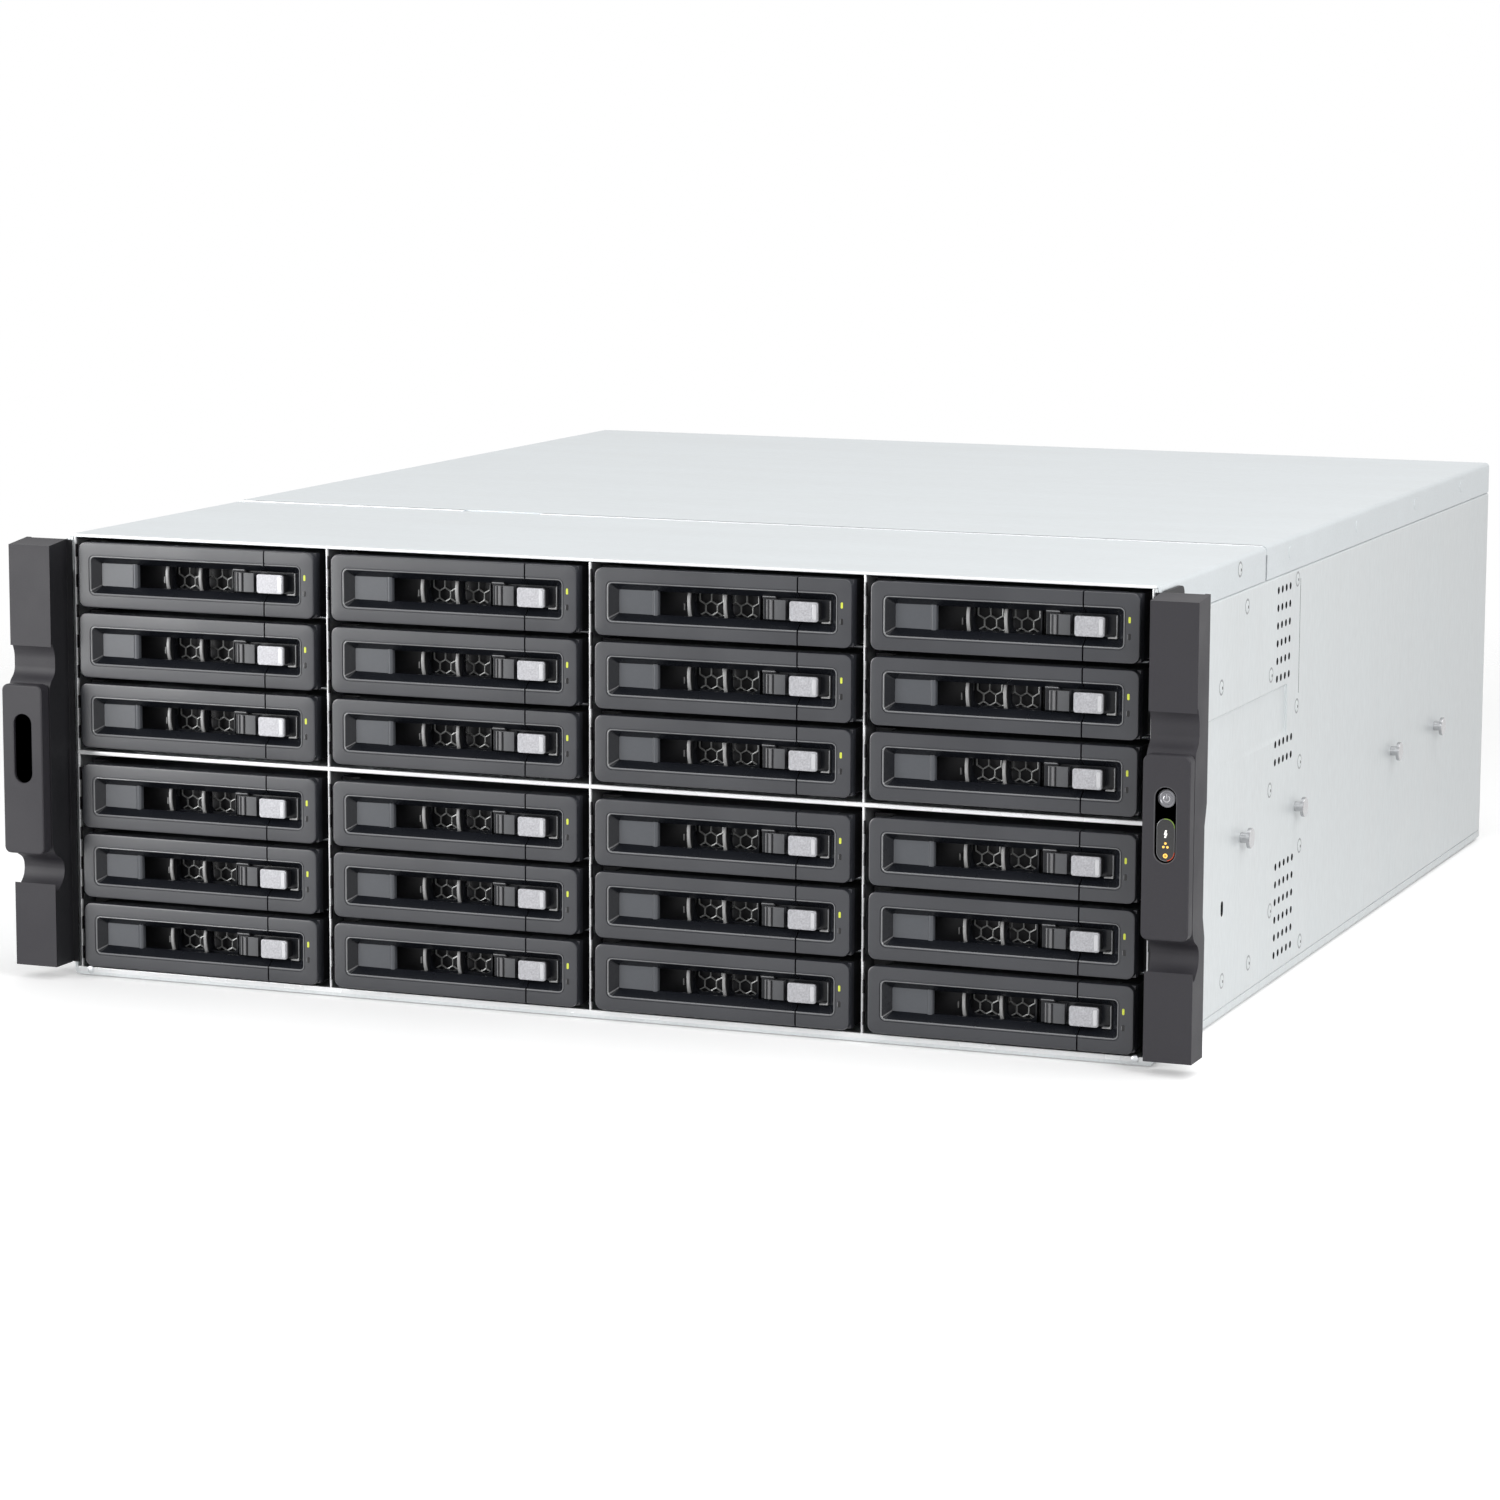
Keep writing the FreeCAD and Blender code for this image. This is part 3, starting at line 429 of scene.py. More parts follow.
def finish(name, colour, metallic=0.0, roughness=0.5, spread=0.06, grain=900.0, grain_depth=0.00002,
           mottle=30.0, roughness_spread=0.08, stretch=(1.0, 1.0, 1.0), coat=0.0, specular=0.5):
    """A surface with fine grain, slow colour changes and uneven gloss."""
    material = bpy.data.materials.new(name)
    material.use_nodes = True
    nodes = material.node_tree.nodes
    link = material.node_tree.links.new
    shader = nodes["Principled BSDF"]
    for socket, value in (("Metallic", metallic), ("Coat Weight", coat), ("Coat Roughness", 0.12),
                          ("Specular IOR Level", specular)):
        shader.inputs[socket].default_value = value

    place = add_node(nodes, "TexCoord")
    stretched = add_node(nodes, "Mapping", Scale=stretch)
    slow = add_node(nodes, "TexNoise", Scale=mottle, Detail=5.0)
    fine = add_node(nodes, "TexNoise", Scale=grain, Detail=3.0)
    both = add_node(nodes, "Mix", Factor=0.5)
    link(place.outputs["Object"], stretched.inputs["Vector"])
    for noise, side in ((slow, "A"), (fine, "B")):
        link(stretched.outputs["Vector"], noise.inputs["Vector"])
        link(noise.outputs["Fac"], both.inputs[side])

    ramp = add_node(nodes, "ValToRGB")
    dark, pale = ramp.color_ramp.elements
    dark.position = 0.3
    pale.position = 0.7
    dark.color = [channel * (1 - spread) for channel in colour] + [1]
    pale.color = [min(1, channel * (1 + spread)) for channel in colour] + [1]
    link(both.outputs["Result"], ramp.inputs["Fac"])
    link(ramp.outputs["Color"], shader.inputs["Base Color"])

    gloss = add_node(nodes, "MapRange", From_Min=0.3, From_Max=0.7,
                     To_Min=roughness - roughness_spread, To_Max=roughness + roughness_spread)
    link(slow.outputs["Fac"], gloss.inputs["Value"])
    link(gloss.outputs["Result"], shader.inputs["Roughness"])

    bump = add_node(nodes, "Bump", Strength=0.6, Distance=grain_depth)
    link(fine.outputs["Fac"], bump.inputs["Height"])
    link(bump.outputs["Normal"], shader.inputs["Normal"])
    return material


def lit(material, colour, strength):
    """A material with light of its own."""
    shader = material.node_tree.nodes["Principled BSDF"]
    shader.inputs["Emission Color"].default_value = [*colour, 1]
    shader.inputs["Emission Strength"].default_value = strength
    return material


def glowing(name, colour, strength):
    return lit(finish(name, colour, roughness=0.3, grain=400.0), colour, strength)


chassis_steel = finish("chassis_steel", (0.66, 0.69, 0.70), metallic=0.25, roughness=0.38, spread=0.07,
                       grain_depth=0.000012, mottle=40.0, stretch=(1.0, 1.0, 0.2))
cover_steel = finish("cover_steel", (0.64, 0.68, 0.70), metallic=0.4, roughness=0.34, grain=1100.0,
                     grain_depth=0.000012, mottle=45.0, roughness_spread=0.02, stretch=(0.25, 1.0, 1.0))
cage_steel = finish("cage_steel", (0.72, 0.74, 0.76), metallic=0.9, roughness=0.30, spread=0.04,
                    grain_depth=0.000006, roughness_spread=0.03)
stud_steel = finish("stud_steel", (0.48, 0.48, 0.49), metallic=0.95, roughness=0.15, spread=0.10)
dark_steel = finish("dark_steel", (0.30, 0.31, 0.32), metallic=0.9, roughness=0.35)
psu_steel = finish("psu_steel", (0.52, 0.54, 0.56), metallic=0.9, roughness=0.38)
# Near-white steel painted on sheet edges, cage edges and the front lip as their highlights
edge_highlight_steel = finish("edge_highlight_steel", (0.92, 0.93, 0.94), metallic=0.15, roughness=0.25, spread=0.03)
grille_steel = finish("grille_steel", (0.38, 0.385, 0.38), metallic=0.3, roughness=0.35, spread=0.12)
power_metal = finish("power_metal", (0.20, 0.20, 0.215), metallic=0.7, roughness=0.25)
brass = finish("brass", (0.75, 0.55, 0.25), metallic=0.9, roughness=0.3)
board_green = finish("board_green", (0.03, 0.16, 0.08), roughness=0.35, spread=0.15)
latch_green = finish("latch_green", (0.04, 0.20, 0.09), roughness=0.4)
black = finish("black_plastic", (0.012, 0.012, 0.014), spread=0.2, specular=0.3)
ear_plastic = finish("ear_plastic", (0.018, 0.0168, 0.021), roughness=0.55, spread=0.12, specular=0.4,
                     grain=1500.0, grain_depth=0.00004)
# Paler plastic painted on the right ear's slot edge as its highlight
ear_edge_highlight = finish("ear_edge_highlight", (0.06, 0.06, 0.065), roughness=0.4)
face_plastic = finish("face_plastic", (0.023, 0.0245, 0.030), roughness=0.33, spread=0.08,
                      grain=2200.0, grain_depth=0.000025, specular=0.65)
# Dark plastic painted darker still as the shade in funnels, behind the windows and in the latch housing
shade_plastic = finish("shade_plastic", (0.008, 0.009, 0.012), roughness=0.25, spread=0.15,
                        roughness_spread=0.05, specular=0.3)
# Pale plastic painted on beads, rims and lip edges as their highlights; the moulding itself is dark
soft_highlight_plastic = finish("soft_highlight_plastic", (0.19, 0.193, 0.20), roughness=0.22, spread=0.05,
                      roughness_spread=0.04)
pad_plastic = finish("pad_plastic", (0.074, 0.079, 0.089), roughness=0.33, spread=0.05, specular=0.45)
# Pale grey painted on rib edges, a catch and a lip as their highlights
bright_highlight_plastic = finish("bright_highlight_plastic", (0.34, 0.34, 0.34), roughness=0.3)
slider_plastic = finish("slider_plastic", (0.06, 0.062, 0.067), roughness=0.35)
# Paler plastic painted on the slider's ridges as their highlights
slider_highlight = finish("slider_highlight", (0.13, 0.13, 0.135), roughness=0.3, spread=0.05)
button_silver = finish("button_silver", (0.38, 0.38, 0.40), metallic=0.45, roughness=0.40,
                       spread=0.30, grain=2400.0, grain_depth=0.00003, mottle=1500.0)
button_bright = finish("button_bright", (0.56, 0.56, 0.58), metallic=0.4, roughness=0.25, spread=0.05)
dark_lens = finish("dark_lens", (0.004, 0.004, 0.005), roughness=0.15)
lens_black = finish("lens_black", (0.004, 0.004, 0.005), roughness=0.08, coat=0.6)
dark_amber = finish("dark_amber", (0.35, 0.16, 0.01), roughness=0.3)
green_light = glowing("green_light", (0.55, 0.60, 0.06), 0.18)
dim_green = glowing("dim_green", (0.16, 0.26, 0.03), 0.3)
amber_light = glowing("amber_light", (0.9, 0.50, 0.10), 0.7)
white_light = glowing("white_light", (0.8, 0.8, 0.76), 0.5)
red_light = glowing("red_light", (0.5, 0.05, 0.015), 0.15)

frame_finishes = [face_plastic, soft_highlight_plastic, shade_plastic]


# Lever and tray face

def open_frame(side, end, low, high, radius, depth):
    """Three sides of a rounded rectangle, from the open end along the bottom and back."""
    turn = 1 if end > side else -1
    middle = side + turn * radius
    corners = arc(middle, low + radius, radius, 270, 360) + arc(middle, high - radius, radius, 0, 90)
    pairs = [(end, low)] + [(middle - turn * (a - middle), b) for a, b in corners] + [(end, high)]
    return [(u, depth, v) for u, v in pairs]


def face_frame(outer_side, inner_side, end):
    """Front of a lever or of a tray's fixed end: face, a bead painted pale as its highlight, a funnel
    painted darker as shade, and thin back.
    """
    turn = 1 if end > outer_side else -1
    skirt_depth = funnel_depth + 1.7

    def outer(inset, depth):
        return open_frame(outer_side + turn * inset, end, inset, face_height - inset,
                          face_corner - inset, depth)

    def opening(offset, depth, slope=0.0):
        return open_frame(inner_side + turn * (slope * funnel_side - offset), end,
                          opening_bottom + slope * funnel_rise - offset,
                          opening_top - slope * funnel_rise + offset,
                          max(opening_corner + offset - slope, 0.3), depth)

    # The rolled outer edge, a groove and a bead round the opening, then the funnel and the back
    loops = [
        outer(0.0, end_depth), outer(0.0, 0.75), outer(0.2, 0.22), outer(0.7, 0.0),
        opening(0.95, 0.0), opening(0.82, 0.3), opening(0.62, 0.3), opening(0.5, 0.05),
        opening(0.25, 0.0), opening(0.0, 0.25), opening(0.0, funnel_depth, 1.0),
        opening(0.0, skirt_depth, 1.0), opening(rim, skirt_depth), opening(rim, end_depth),
    ]
    face, bead, funnel = range(3)
    return loft(loops, materials=[face] * 7 + [bead] * 2 + [funnel] * 3 + [face] * 2)


def lever_pad():
    """Finger pad with a lip bent forward at its free end."""
    lip = 1.1
    lip_depth = 4.3
    back = 5.5
    start = inner_left - 0.6
    pad = [(start, funnel_depth + 0.05), (pad_end - 2.2, funnel_depth - 0.1),
           (pad_end - 1.8, lip_depth - 1.0)]
    pad += arc(pad_end - lip, lip_depth, lip, 250, 360) + [(pad_end, back), (start, back)]
    return slab(pad, inner_bottom - rim, inner_top + rim, "top", 0.2)


def lever_lug():
    """Lug that snaps over the hinge pin from the rear."""
    half = 2.25
    back = 7.0
    mouth = 0.8
    mouth_depth = hinge_depth + 0.7
    bore = pin_radius + 0.05
    low = 7.3
    right_half = [(half, end_depth), (half, back), (mouth, back), (mouth, mouth_depth),
                  (bore, mouth_depth), (bore, hinge_depth - bore)]
    outline = right_half + [(-u, depth) for u, depth in reversed(right_half)]
    return slab([(hinge_u + u, depth) for u, depth in outline], low, face_height - low, "top")


def lever_parts():
    """The hinged C-shaped lever with its funnel, finger pad, lug and hooks."""
    bar_start = 8.0
    hook_start = 74.3
    hook_length = 5.0
    hook_size = 3.0
    hook_low = 2.5
    straight = [block(bar_start, lever_end, end_depth, bar_depth, low, high) for low, high in bars]
    hooks = [block(hook_start, hook_start + hook_length, bar_depth, bar_depth + hook_size,
                   low, low + hook_size, 0.4)
             for low in (hook_low, face_height - hook_low - hook_size)]
    return ([(face_frame(0.0, opening_left, lever_end), frame_finishes), (lever_pad(), pad_plastic)]
            + painted(face_plastic, straight) + painted(black, [lever_lug()] + hooks))


def honeycomb(left, right, low, high, depth):
    """Wires of a hexagon grille inside a window."""
    first_u = 36.9
    first_v = low + 3.0
    pitch = 4.75
    side = pitch / math.sqrt(3)
    wires = []
    for row in range(-1, 3):
        centre_v = first_v + row * 1.5 * side
        shift = pitch / 2 if row % 2 else 0.0
        for column in range(-1, 8):
            centre_u = first_u + shift + column * pitch
            corners = arc(centre_u, centre_v, side, 90, 270, 3)
            for (u0, v0), (u1, v1) in zip(corners, corners[1:]):
                inside = all(left < u < right for u in (u0, u1)) and low < (v0 + v1) / 2 < high
                if inside:
                    v0, v1 = (min(max(v, low), high) for v in (v0, v1))
                    wires.append(tube([(u0, depth, v0), (u1, depth, v1)], 0.32, 5))
    return wires


def window_frame(left, right):
    """Black plate with a rounded window, in front of the grille, painted darker as shade."""
    border = 0.9
    outer = rounded(left, right, window_low, window_high, 0.3)
    inner = rounded(left + 1.2, right - 0.5, window_low + border, window_high - border, 2.2)
    plate_front = 11.0
    plate_back = 13.6
    return loft([[(u, depth, v) for u, v in outline]
                 for outline, depth in ((outer, plate_front), (inner, plate_front),
                                        (inner, plate_back), (outer, plate_back))], ring=True)


def rib(u):
    """Upright bar at a window's left edge, bowed forward: a front edge painted pale as a highlight, on a
    black web.
    """
    steps = 10
    bow = 0.045
    reach = 5.3
    lead = 7.4
    back = 13.5
    bent = []
    for number in range(steps + 1):
        up = reach * (2 * number / steps - 1)
        bent.append((lead + bow * up * up, middle_v + up))
    edge = bent + [(depth + 1.0, v) for depth, v in reversed(bent)]
    web = [(depth + 0.9, v) for depth, v in bent] + [(back, middle_v + reach), (back, middle_v - reach)]
    return [(slab(edge, u - 0.6, u + 0.6, "side", 0.25), bright_highlight_plastic),
            (slab(web, u - 0.55, u + 0.55, "side"), black)]


def tray_walls():
    """Fixed end of the face, the walls behind it and the front wall round the windows."""
    back = bar_depth + rim
    right = face_width - wall_edge
    top = face_height - wall_edge
    inner_low = wall_edge + wall_thickness
    inner_high = top - wall_thickness
    faces = [block(block_start, opening_right, end_depth, back, low, high) for low, high in bars]
    faces.append(block(opening_right, face_width - 0.2, end_depth, back, 0.2, face_height - 0.2, 0.5))
    walls = [block(left, right, back, wall_depth, low, high)
             for left, low, high in ((5.5, wall_edge, inner_low), (5.5, inner_high, top),
                                     (right - wall_thickness, inner_low, inner_high))]
    walls += [block(left, end, wall_depth, wall_depth + 2.0, low, high)
              for left, end, low, high in ((-rail_reach, windows_left, wall_edge, top),
                                           (windows_right, face_width + rail_reach, wall_edge, top),
                                           (windows_left, windows_right, wall_edge, window_low),
                                           (windows_left, windows_right, window_high, top))]
    return ([(face_frame(face_width, opening_right, block_start), frame_finishes)]
            + painted(face_plastic, faces) + painted(black, walls))


def tray_windows():
    """Two framed windows with bowed ribs, in front of a honeycomb grille."""
    parts = painted(shade_plastic, [window_frame(windows_left, windows_middle),
                                     window_frame(windows_middle, windows_right + 1.0)])
    parts += rib(windows_left + 0.2) + rib(windows_middle + 0.2)
    # The catch is painted pale as its highlight
    catch = block(31.2, 31.7, 12.5, wall_depth, 9.5, 12.0)
    parts.append((catch, bright_highlight_plastic))
    wires = honeycomb(windows_left + 0.6, windows_right + 0.5, window_low + 0.4, window_high - 0.4,
                      wall_depth + 0.6)
    return parts + painted(grille_steel, wires)


def tray_latch():
    """Latch housing painted darker as shade, its lock slider with ridges painted pale as highlights, and
    the lips beside the button with pale highlights painted on.
    """
    housing_left = 66.0
    housing_half = 4.35
    left = 68.3
    right = 76.0
    top = 2.1
    step = 2.4
    housing = block(housing_left, inner_right, housing_depth, wall_depth, middle_v - housing_half,
                    middle_v + housing_half, 0.4)
    slider = [(left, housing_depth), (left, step), (left + 3.1, step), (left + 3.6, top),
              (right, top), (right, housing_depth)]
    ridges = [block(left + start, left + end, lead, step + 0.1, button_low + 0.1, button_high - 0.1, bevel)
              for start, end, lead, bevel in ((0.2, 0.7, 1.9, 0.2), (1.6, 2.6, 1.6, 0.2),
                                              (2.65, 3.05, 2.2, 0.0))]
    top_lip = block(66.5, 72.0, end_depth, housing_depth, 16.5, 17.5, 0.35)
    top_shine = block(66.6, 71.6, 2.9, 3.1, 17.2, 17.6, 0.1)
    low_lip = [(90.0, 8.4), (93.4, 8.4), (93.4, 9.8), (92.6, 9.0), (90.0, 8.9)]
    end_lip = block(93.1, 93.5, end_depth, housing_depth, 8.9, 16.9, 0.15)
    return [(housing, shade_plastic), (slab(slider, button_low, button_high, "top", 0.12), slider_plastic),
            (ridges[0], slider_highlight), (ridges[1], slider_highlight), (ridges[2], black),
            (top_lip, black), (top_shine, soft_highlight_plastic),
            (slab(low_lip, 2.8, housing_depth, "front", 0.15), bright_highlight_plastic), (end_lip, soft_highlight_plastic)]


def tray_lights():
    """A lit light pipe above a dark one, with a pale strip at its edge painted as a highlight."""
    back = 0.6
    return [(slab(rounded(98.5, 99.4, 14.7, 17.0, 0.42), -0.12, back, "front", 0.1), green_light),
            (slab(rounded(98.4, 99.5, 8.6, 11.0, 0.5), -0.06, back, "front", 0.1), dark_lens),
            (block(98.25, 98.45, -0.1, back, 9.0, 10.6), soft_highlight_plastic)]


def tray_hinge():
    """Two ears with the pin between them."""
    ear_height = 4.0
    ear_lows = (3.0, 18.5)
    lead = 3.3
    outline = [(-1.7, wall_depth), (-1.7, lead + 1), (-0.7, lead), (0.7, lead), (1.7, lead + 1),
               (1.7, wall_depth)]
    ear = [(hinge_u + u, depth) for u, depth in outline]
    shapes = [slab(ear, low, low + ear_height, "top", 0.2) for low in ear_lows]
    shapes.append(slab(circle(hinge_u, hinge_depth, pin_radius, 16), ear_lows[0] + ear_height,
                       ear_lows[1], "top"))
    return painted(black, shapes)


def tray_rails():
    """Rails along the drive's sides, with its screws."""
    parts = []
    for side, start in ((-1, -rail_reach), (1, face_width + rail_reach - rail_width)):
        rail = block(start, start + rail_width, wall_depth, carrier_end, wall_edge, 20.6, 0.4)
        parts.append((rail, black))
        outside = start if side < 0 else start + rail_width
        for depth in (45.0, 104.0, 146.0):
            parts.append((dome(outside - side * 0.35, depth, 6.4, 3.0, 0.5, (side, 0, 0)), dark_steel))
    return parts


def button_parts():
    """Release button: silver cap with an outlined bright strip, on a black body painted as the shade on its
    sides.
    """
    left = 78.2
    right = 89.4
    cap_back = 1.5

    def plate(start, end, inset, radius, lead, back, *bevel):
        outline = rounded(start, end, button_low + inset, button_high - inset, radius)
        return slab(outline, lead, back, "front", *bevel)

    return [(plate(left, right, 0.0, 0.9, 0.2, cap_back, 0.25, 3), button_silver),
            (plate(left + 0.2, right - 0.2, 0.2, 0.8, cap_back, housing_depth), black),
            (plate(right - 2.25, right - 0.25, 0.45, 0.6, 0.12, 0.6), dark_steel),
            (plate(right - 2.0, right - 0.45, 0.7, 0.5, -0.05, 0.8, 0.12), button_bright)]


def drive_parts():
    """A 3.5-inch drive: cast body, pressed lid and lid screws, with black painted as shade on its front and
    along its top front edge.
    """
    left = (face_width - drive_width) / 2
    right = left + drive_width
    low = (face_height - drive_height) / 2
    high = low + drive_height
    lead = 17.0
    lid = high - 0.4
    ledge = high - 1.4
    outline = rounded(left + 2.0, right - 2.0, lead + 10.0, carrier_end - 4.0, 6.0)
    raised = rounded(left + 9.0, right - 9.0, lead + 16.0, 120.0, 12.0)
    parts = [(block(left, right, lead, carrier_end, low, ledge, 0.6), dark_steel),
             # Black front face painted as the shade behind the grille, and a black strip painted as the
             # shade seen through the gap between trays
             (block(left + 1.0, right - 1.0, lead - 0.3, lead + 0.1, low + 1.0, ledge - 1.0), black),
             (block(left, right, lead - 0.1, lead + 9.0, ledge - 0.2, ledge + 0.2, 0.15), black),
             (slab(outline, ledge, lid, "top", 0.4), cage_steel),
             (slab(raised, lid, high, "top", 0.2), cage_steel)]
    for u in (left + 6.0, right - 6.0):
        for depth in (31.0, 88.0, 154.0):
            parts.append((dome(u, depth, high - 0.5, 2.2, 0.45, (0, 0, 1), 12), dark_steel))
    return parts


def add_trays():
    """The same four meshes in every bay."""
    tray_parts = (tray_walls() + tray_windows() + tray_latch() + tray_lights() + tray_hinge()
                  + tray_rails())
    lever = make_mesh("lever", lever_parts())
    tray = make_mesh("tray", tray_parts)
    button = make_mesh("button", button_parts())
    drive = make_mesh("drive", drive_parts())
    for bay in bays:
        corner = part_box(f"lever_{bay}")[0]
        tray_body = f"tray_{bay}"
        lever_body = f"lever_{bay}"
        add_piece(f"lever_{bay}_shell", lever, lever_body, [lever_body], corner)
        add_piece(f"tray_{bay}_carrier", tray, tray_body, [tray_body], corner)
        add_piece(f"tray_{bay}_button", button, tray_body, place=corner)
        add_piece(f"tray_{bay}_drive", drive, tray_body, place=corner)


# Ears

def upright_slot(half, low, high, shrink=0.0):
    """Outline of an upright slot with round ends."""
    return rounded(grip_middle - half + shrink, grip_middle + half - shrink, low + shrink,
                   high - shrink, half - shrink - 0.01, 8)


def ear_cover():
    """Moulded cover, stepped at its neck and waist, hollow over the bolts."""
    pocket_half = 6.5
    lower = [(front, ear_bottom), (ear_front, ear_bottom), (ear_front, 33.2), (ear_waist, 39.9),
             (ear_waist, 46.5), (grip_back, grip_bottom)]
    upper = [(grip_back, grip_top), (ear_neck, 121.4), (ear_neck, 129.2), (ear_front, 135.9),
             (ear_front, ear_top - ear_top_fall), (front, ear_top)]
    back = [(front, 98.0), (front - 2.5, 90.0), (front - 2.5, 57.0), (front, 49.0)]
    profile = lower[:2] + filleted(lower[2:] + upper[:4], 9.0, 6) + upper[4:] + back
    cover = slab(profile, ear_inner, ear_outer, "side", 1.1, 3)
    cutters = [block(ear_inner - 1, flange_outer, flange_front, front + 1, ear_bottom - 1, ear_top + 1)]
    for z in rack_hole_heights:
        cutters.append(block(rack_hole_x - pocket_half, rack_hole_x + pocket_half, front - 5.4,
                             flange_front + 0.1, z - pocket_half, z + pocket_half))
    cover = cut(cover, cutters)
    for face in cover.faces:
        face.material_index = 1 if face.normal.x < -0.9 else 0
    return cover


def ear_bracket():
    """Black steel angle: a flange for the rack and a leg along the chassis side."""
    leg_back = front + 25.0
    flange = block(ear_inner, flange_outer, flange_front, front, ear_bottom + 0.2, ear_top - 0.2)
    holes = [slab(circle(rack_hole_x, z, rack_hole_radius), front - 3, front + 1)
             for z in rack_hole_heights]
    leg = filleted(rectangle(front - 1.0, leg_back, ear_bottom, ear_top), 4.0)
    return [cut(flange, holes), slab(leg, half_width, half_width + 1.5, "side", 0.3)]


def grip():
    """Rounded plate that the hand pulls on, with an upright slot sunk in its front."""
    plate = slab(rounded(grip_left, ear_outer, grip_bottom, grip_top, 2.5), grip_front, grip_back,
                 "front", 0.9, 3)
    return cut(plate, [slab(upright_slot(slot_half, slot_bottom, slot_top), grip_front - 1, slot_floor)])


def slot_lining(floor_finish, edge_finish):
    """Dark floor of the slot and the soft edge round it; a paler edge finish paints a highlight on it."""
    floor = slab(upright_slot(slot_half, slot_bottom, slot_top, 0.05), slot_floor, slot_floor + 0.3)
    outline = upright_slot(slot_half, slot_bottom, slot_top, 0.15)
    edge = tube([(x, grip_front + 0.25, z) for x, z in outline], 0.25, ring=True)
    return [(floor, floor_finish), (edge, edge_finish)]


def ear_parts():
    """Cover, grip and bracket, with a black strip painted as the shade in the gap beside the chassis."""
    # Black strip painted as the shade in the gap between ear and chassis
    strip = block(half_width - 2.1, ear_inner + 0.3, front - 0.8, front - 0.05, ear_bottom, ear_top - 0.4)
    parts = [(ear_cover(), [ear_plastic, black]), (grip(), ear_plastic)]
    return parts + painted(black, [strip] + ear_bracket())


def status_parts():
    """Lens with its rim, painted pale as a highlight, and the three lit marks: power, disks and system."""
    middle = grip_middle
    rim_turn = 88.5
    bolt_height = 89.6
    discs_height = 85.4
    ring_height = 81.7
    lens = slab(upright_slot(lens_half, lens_bottom, lens_top, 0.1), lens_front + 0.1, slot_floor,
                "front", 0.15)
    outline = upright_slot(lens_half, lens_bottom, lens_top, 0.25)
    upper = [(x, z) for x, z in outline if z > rim_turn and x > middle - 1]
    lower = [(x, z) for x, z in outline if z <= rim_turn and x > middle + 0.5]
    lower.sort(key=lambda point: point[1])

    def line(points, lead, radius, ring=False):
        return tube([(x, lens_front + lead, z) for x, z in points], radius, 5, ring)

    def mark(points, lead=0.02):
        return slab(points, lens_front - lead, lens_front + 0.3)

    bolt = [(-0.15, 1.4), (0.5, 1.4), (0.3, 0.25), (0.7, 0.25), (0.1, -1.4), (-0.5, -1.4),
            (-0.25, -0.2), (-0.65, -0.2)]
    discs = [mark(circle(middle + across, discs_height + up, 0.46, 12))
             for across, up in ((0.0, 0.8), (-0.75, -0.5), (0.75, -0.5))]
    ring = mark(circle(middle, ring_height, 0.85))
    return [(lens, lens_black), (line(outline, 0.14, 0.13, True), soft_highlight_plastic),
            (line(upper, 0.12, 0.16), dim_green), (line(lower, 0.12, 0.16), red_light),
            (mark([(middle + across, bolt_height + up) for across, up in bolt]), white_light),
            (mark(circle(middle, ring_height, 0.35, 12), 0.07), dark_amber)
            ] + painted(amber_light, discs + [ring])


def power_parts():
    """Turned button face with a ring round the usual sign."""
    face = slot_floor - 0.3
    sign = face - 0.17
    turned = ((3.2, 0.35), (3.2, 0.0), (2.9, -0.22), (2.35, -0.30), (2.15, -0.12), (1.9, -0.12))
    disc = capped([[(x, face + lift, z) for x, z in circle(grip_middle, button_height, radius, 36)]
                   for radius, lift in turned])
    ring = [(x, sign, z) for x, z in arc(grip_middle, button_height - 0.1, 1.15, 125, 415, 14)]
    stem = [(grip_middle, sign, button_height + up) for up in (0.1, 1.5)]
    return [(disc, power_metal)] + painted(button_bright, [tube(ring, 0.17, 5), tube(stem, 0.17, 5)])


def add_ears():
    # The right slot's edge is painted paler as its highlight; the left one keeps the ear's colour
    right = ear_parts() + status_parts() + slot_lining(lens_black, ear_edge_highlight)
    add_piece("right_ear_cover", right, "chassis", ["right_ear"])
    left = [(mirrored(shape), material)
            for shape, material in ear_parts() + slot_lining(black, ear_plastic)]
    add_piece("left_ear_cover", left, "chassis", ["left_ear"])
    add_piece("power_button_face", power_parts(), "power_button")


# Folded sheets

def folded_sheet(start, end, drop=0.0):
    """A top sheet with rounded folds and a flange down each side."""
    inner = fold_radius - cover_sheet
    bend_x = half_width - fold_radius
    bend_z = height - drop - fold_radius
    outline = [(half_width, fold_z)] + arc(bend_x, bend_z, fold_radius, 0, 90)
    outline += arc(-bend_x, bend_z, fold_radius, 90, 180)
    outline += [(-half_width, fold_z), (cover_sheet - half_width, fold_z)]
    outline += arc(-bend_x, bend_z, inner, 180, 90) + arc(bend_x, bend_z, inner, 90, 0)
    outline += [(half_width - cover_sheet, fold_z)]
    return slab(outline, start, end)


def seam_notches():
    """Cutters for the notch in each flange where the two top sheets meet."""
    notch = block(half_width - 3, half_width + 1, seam - 0.9, seam + 1.3, fold_z - 1, height - 3.6)
    return [notch, mirrored(notch.copy())]


def highlight_edge(start, end, y, length, top):
    """Front edge of a sheet, painted pale as its highlight."""
    return (block(start, end, y - 0.06, y + length, top - 0.95, top + 0.03, 0.2), edge_highlight_steel)


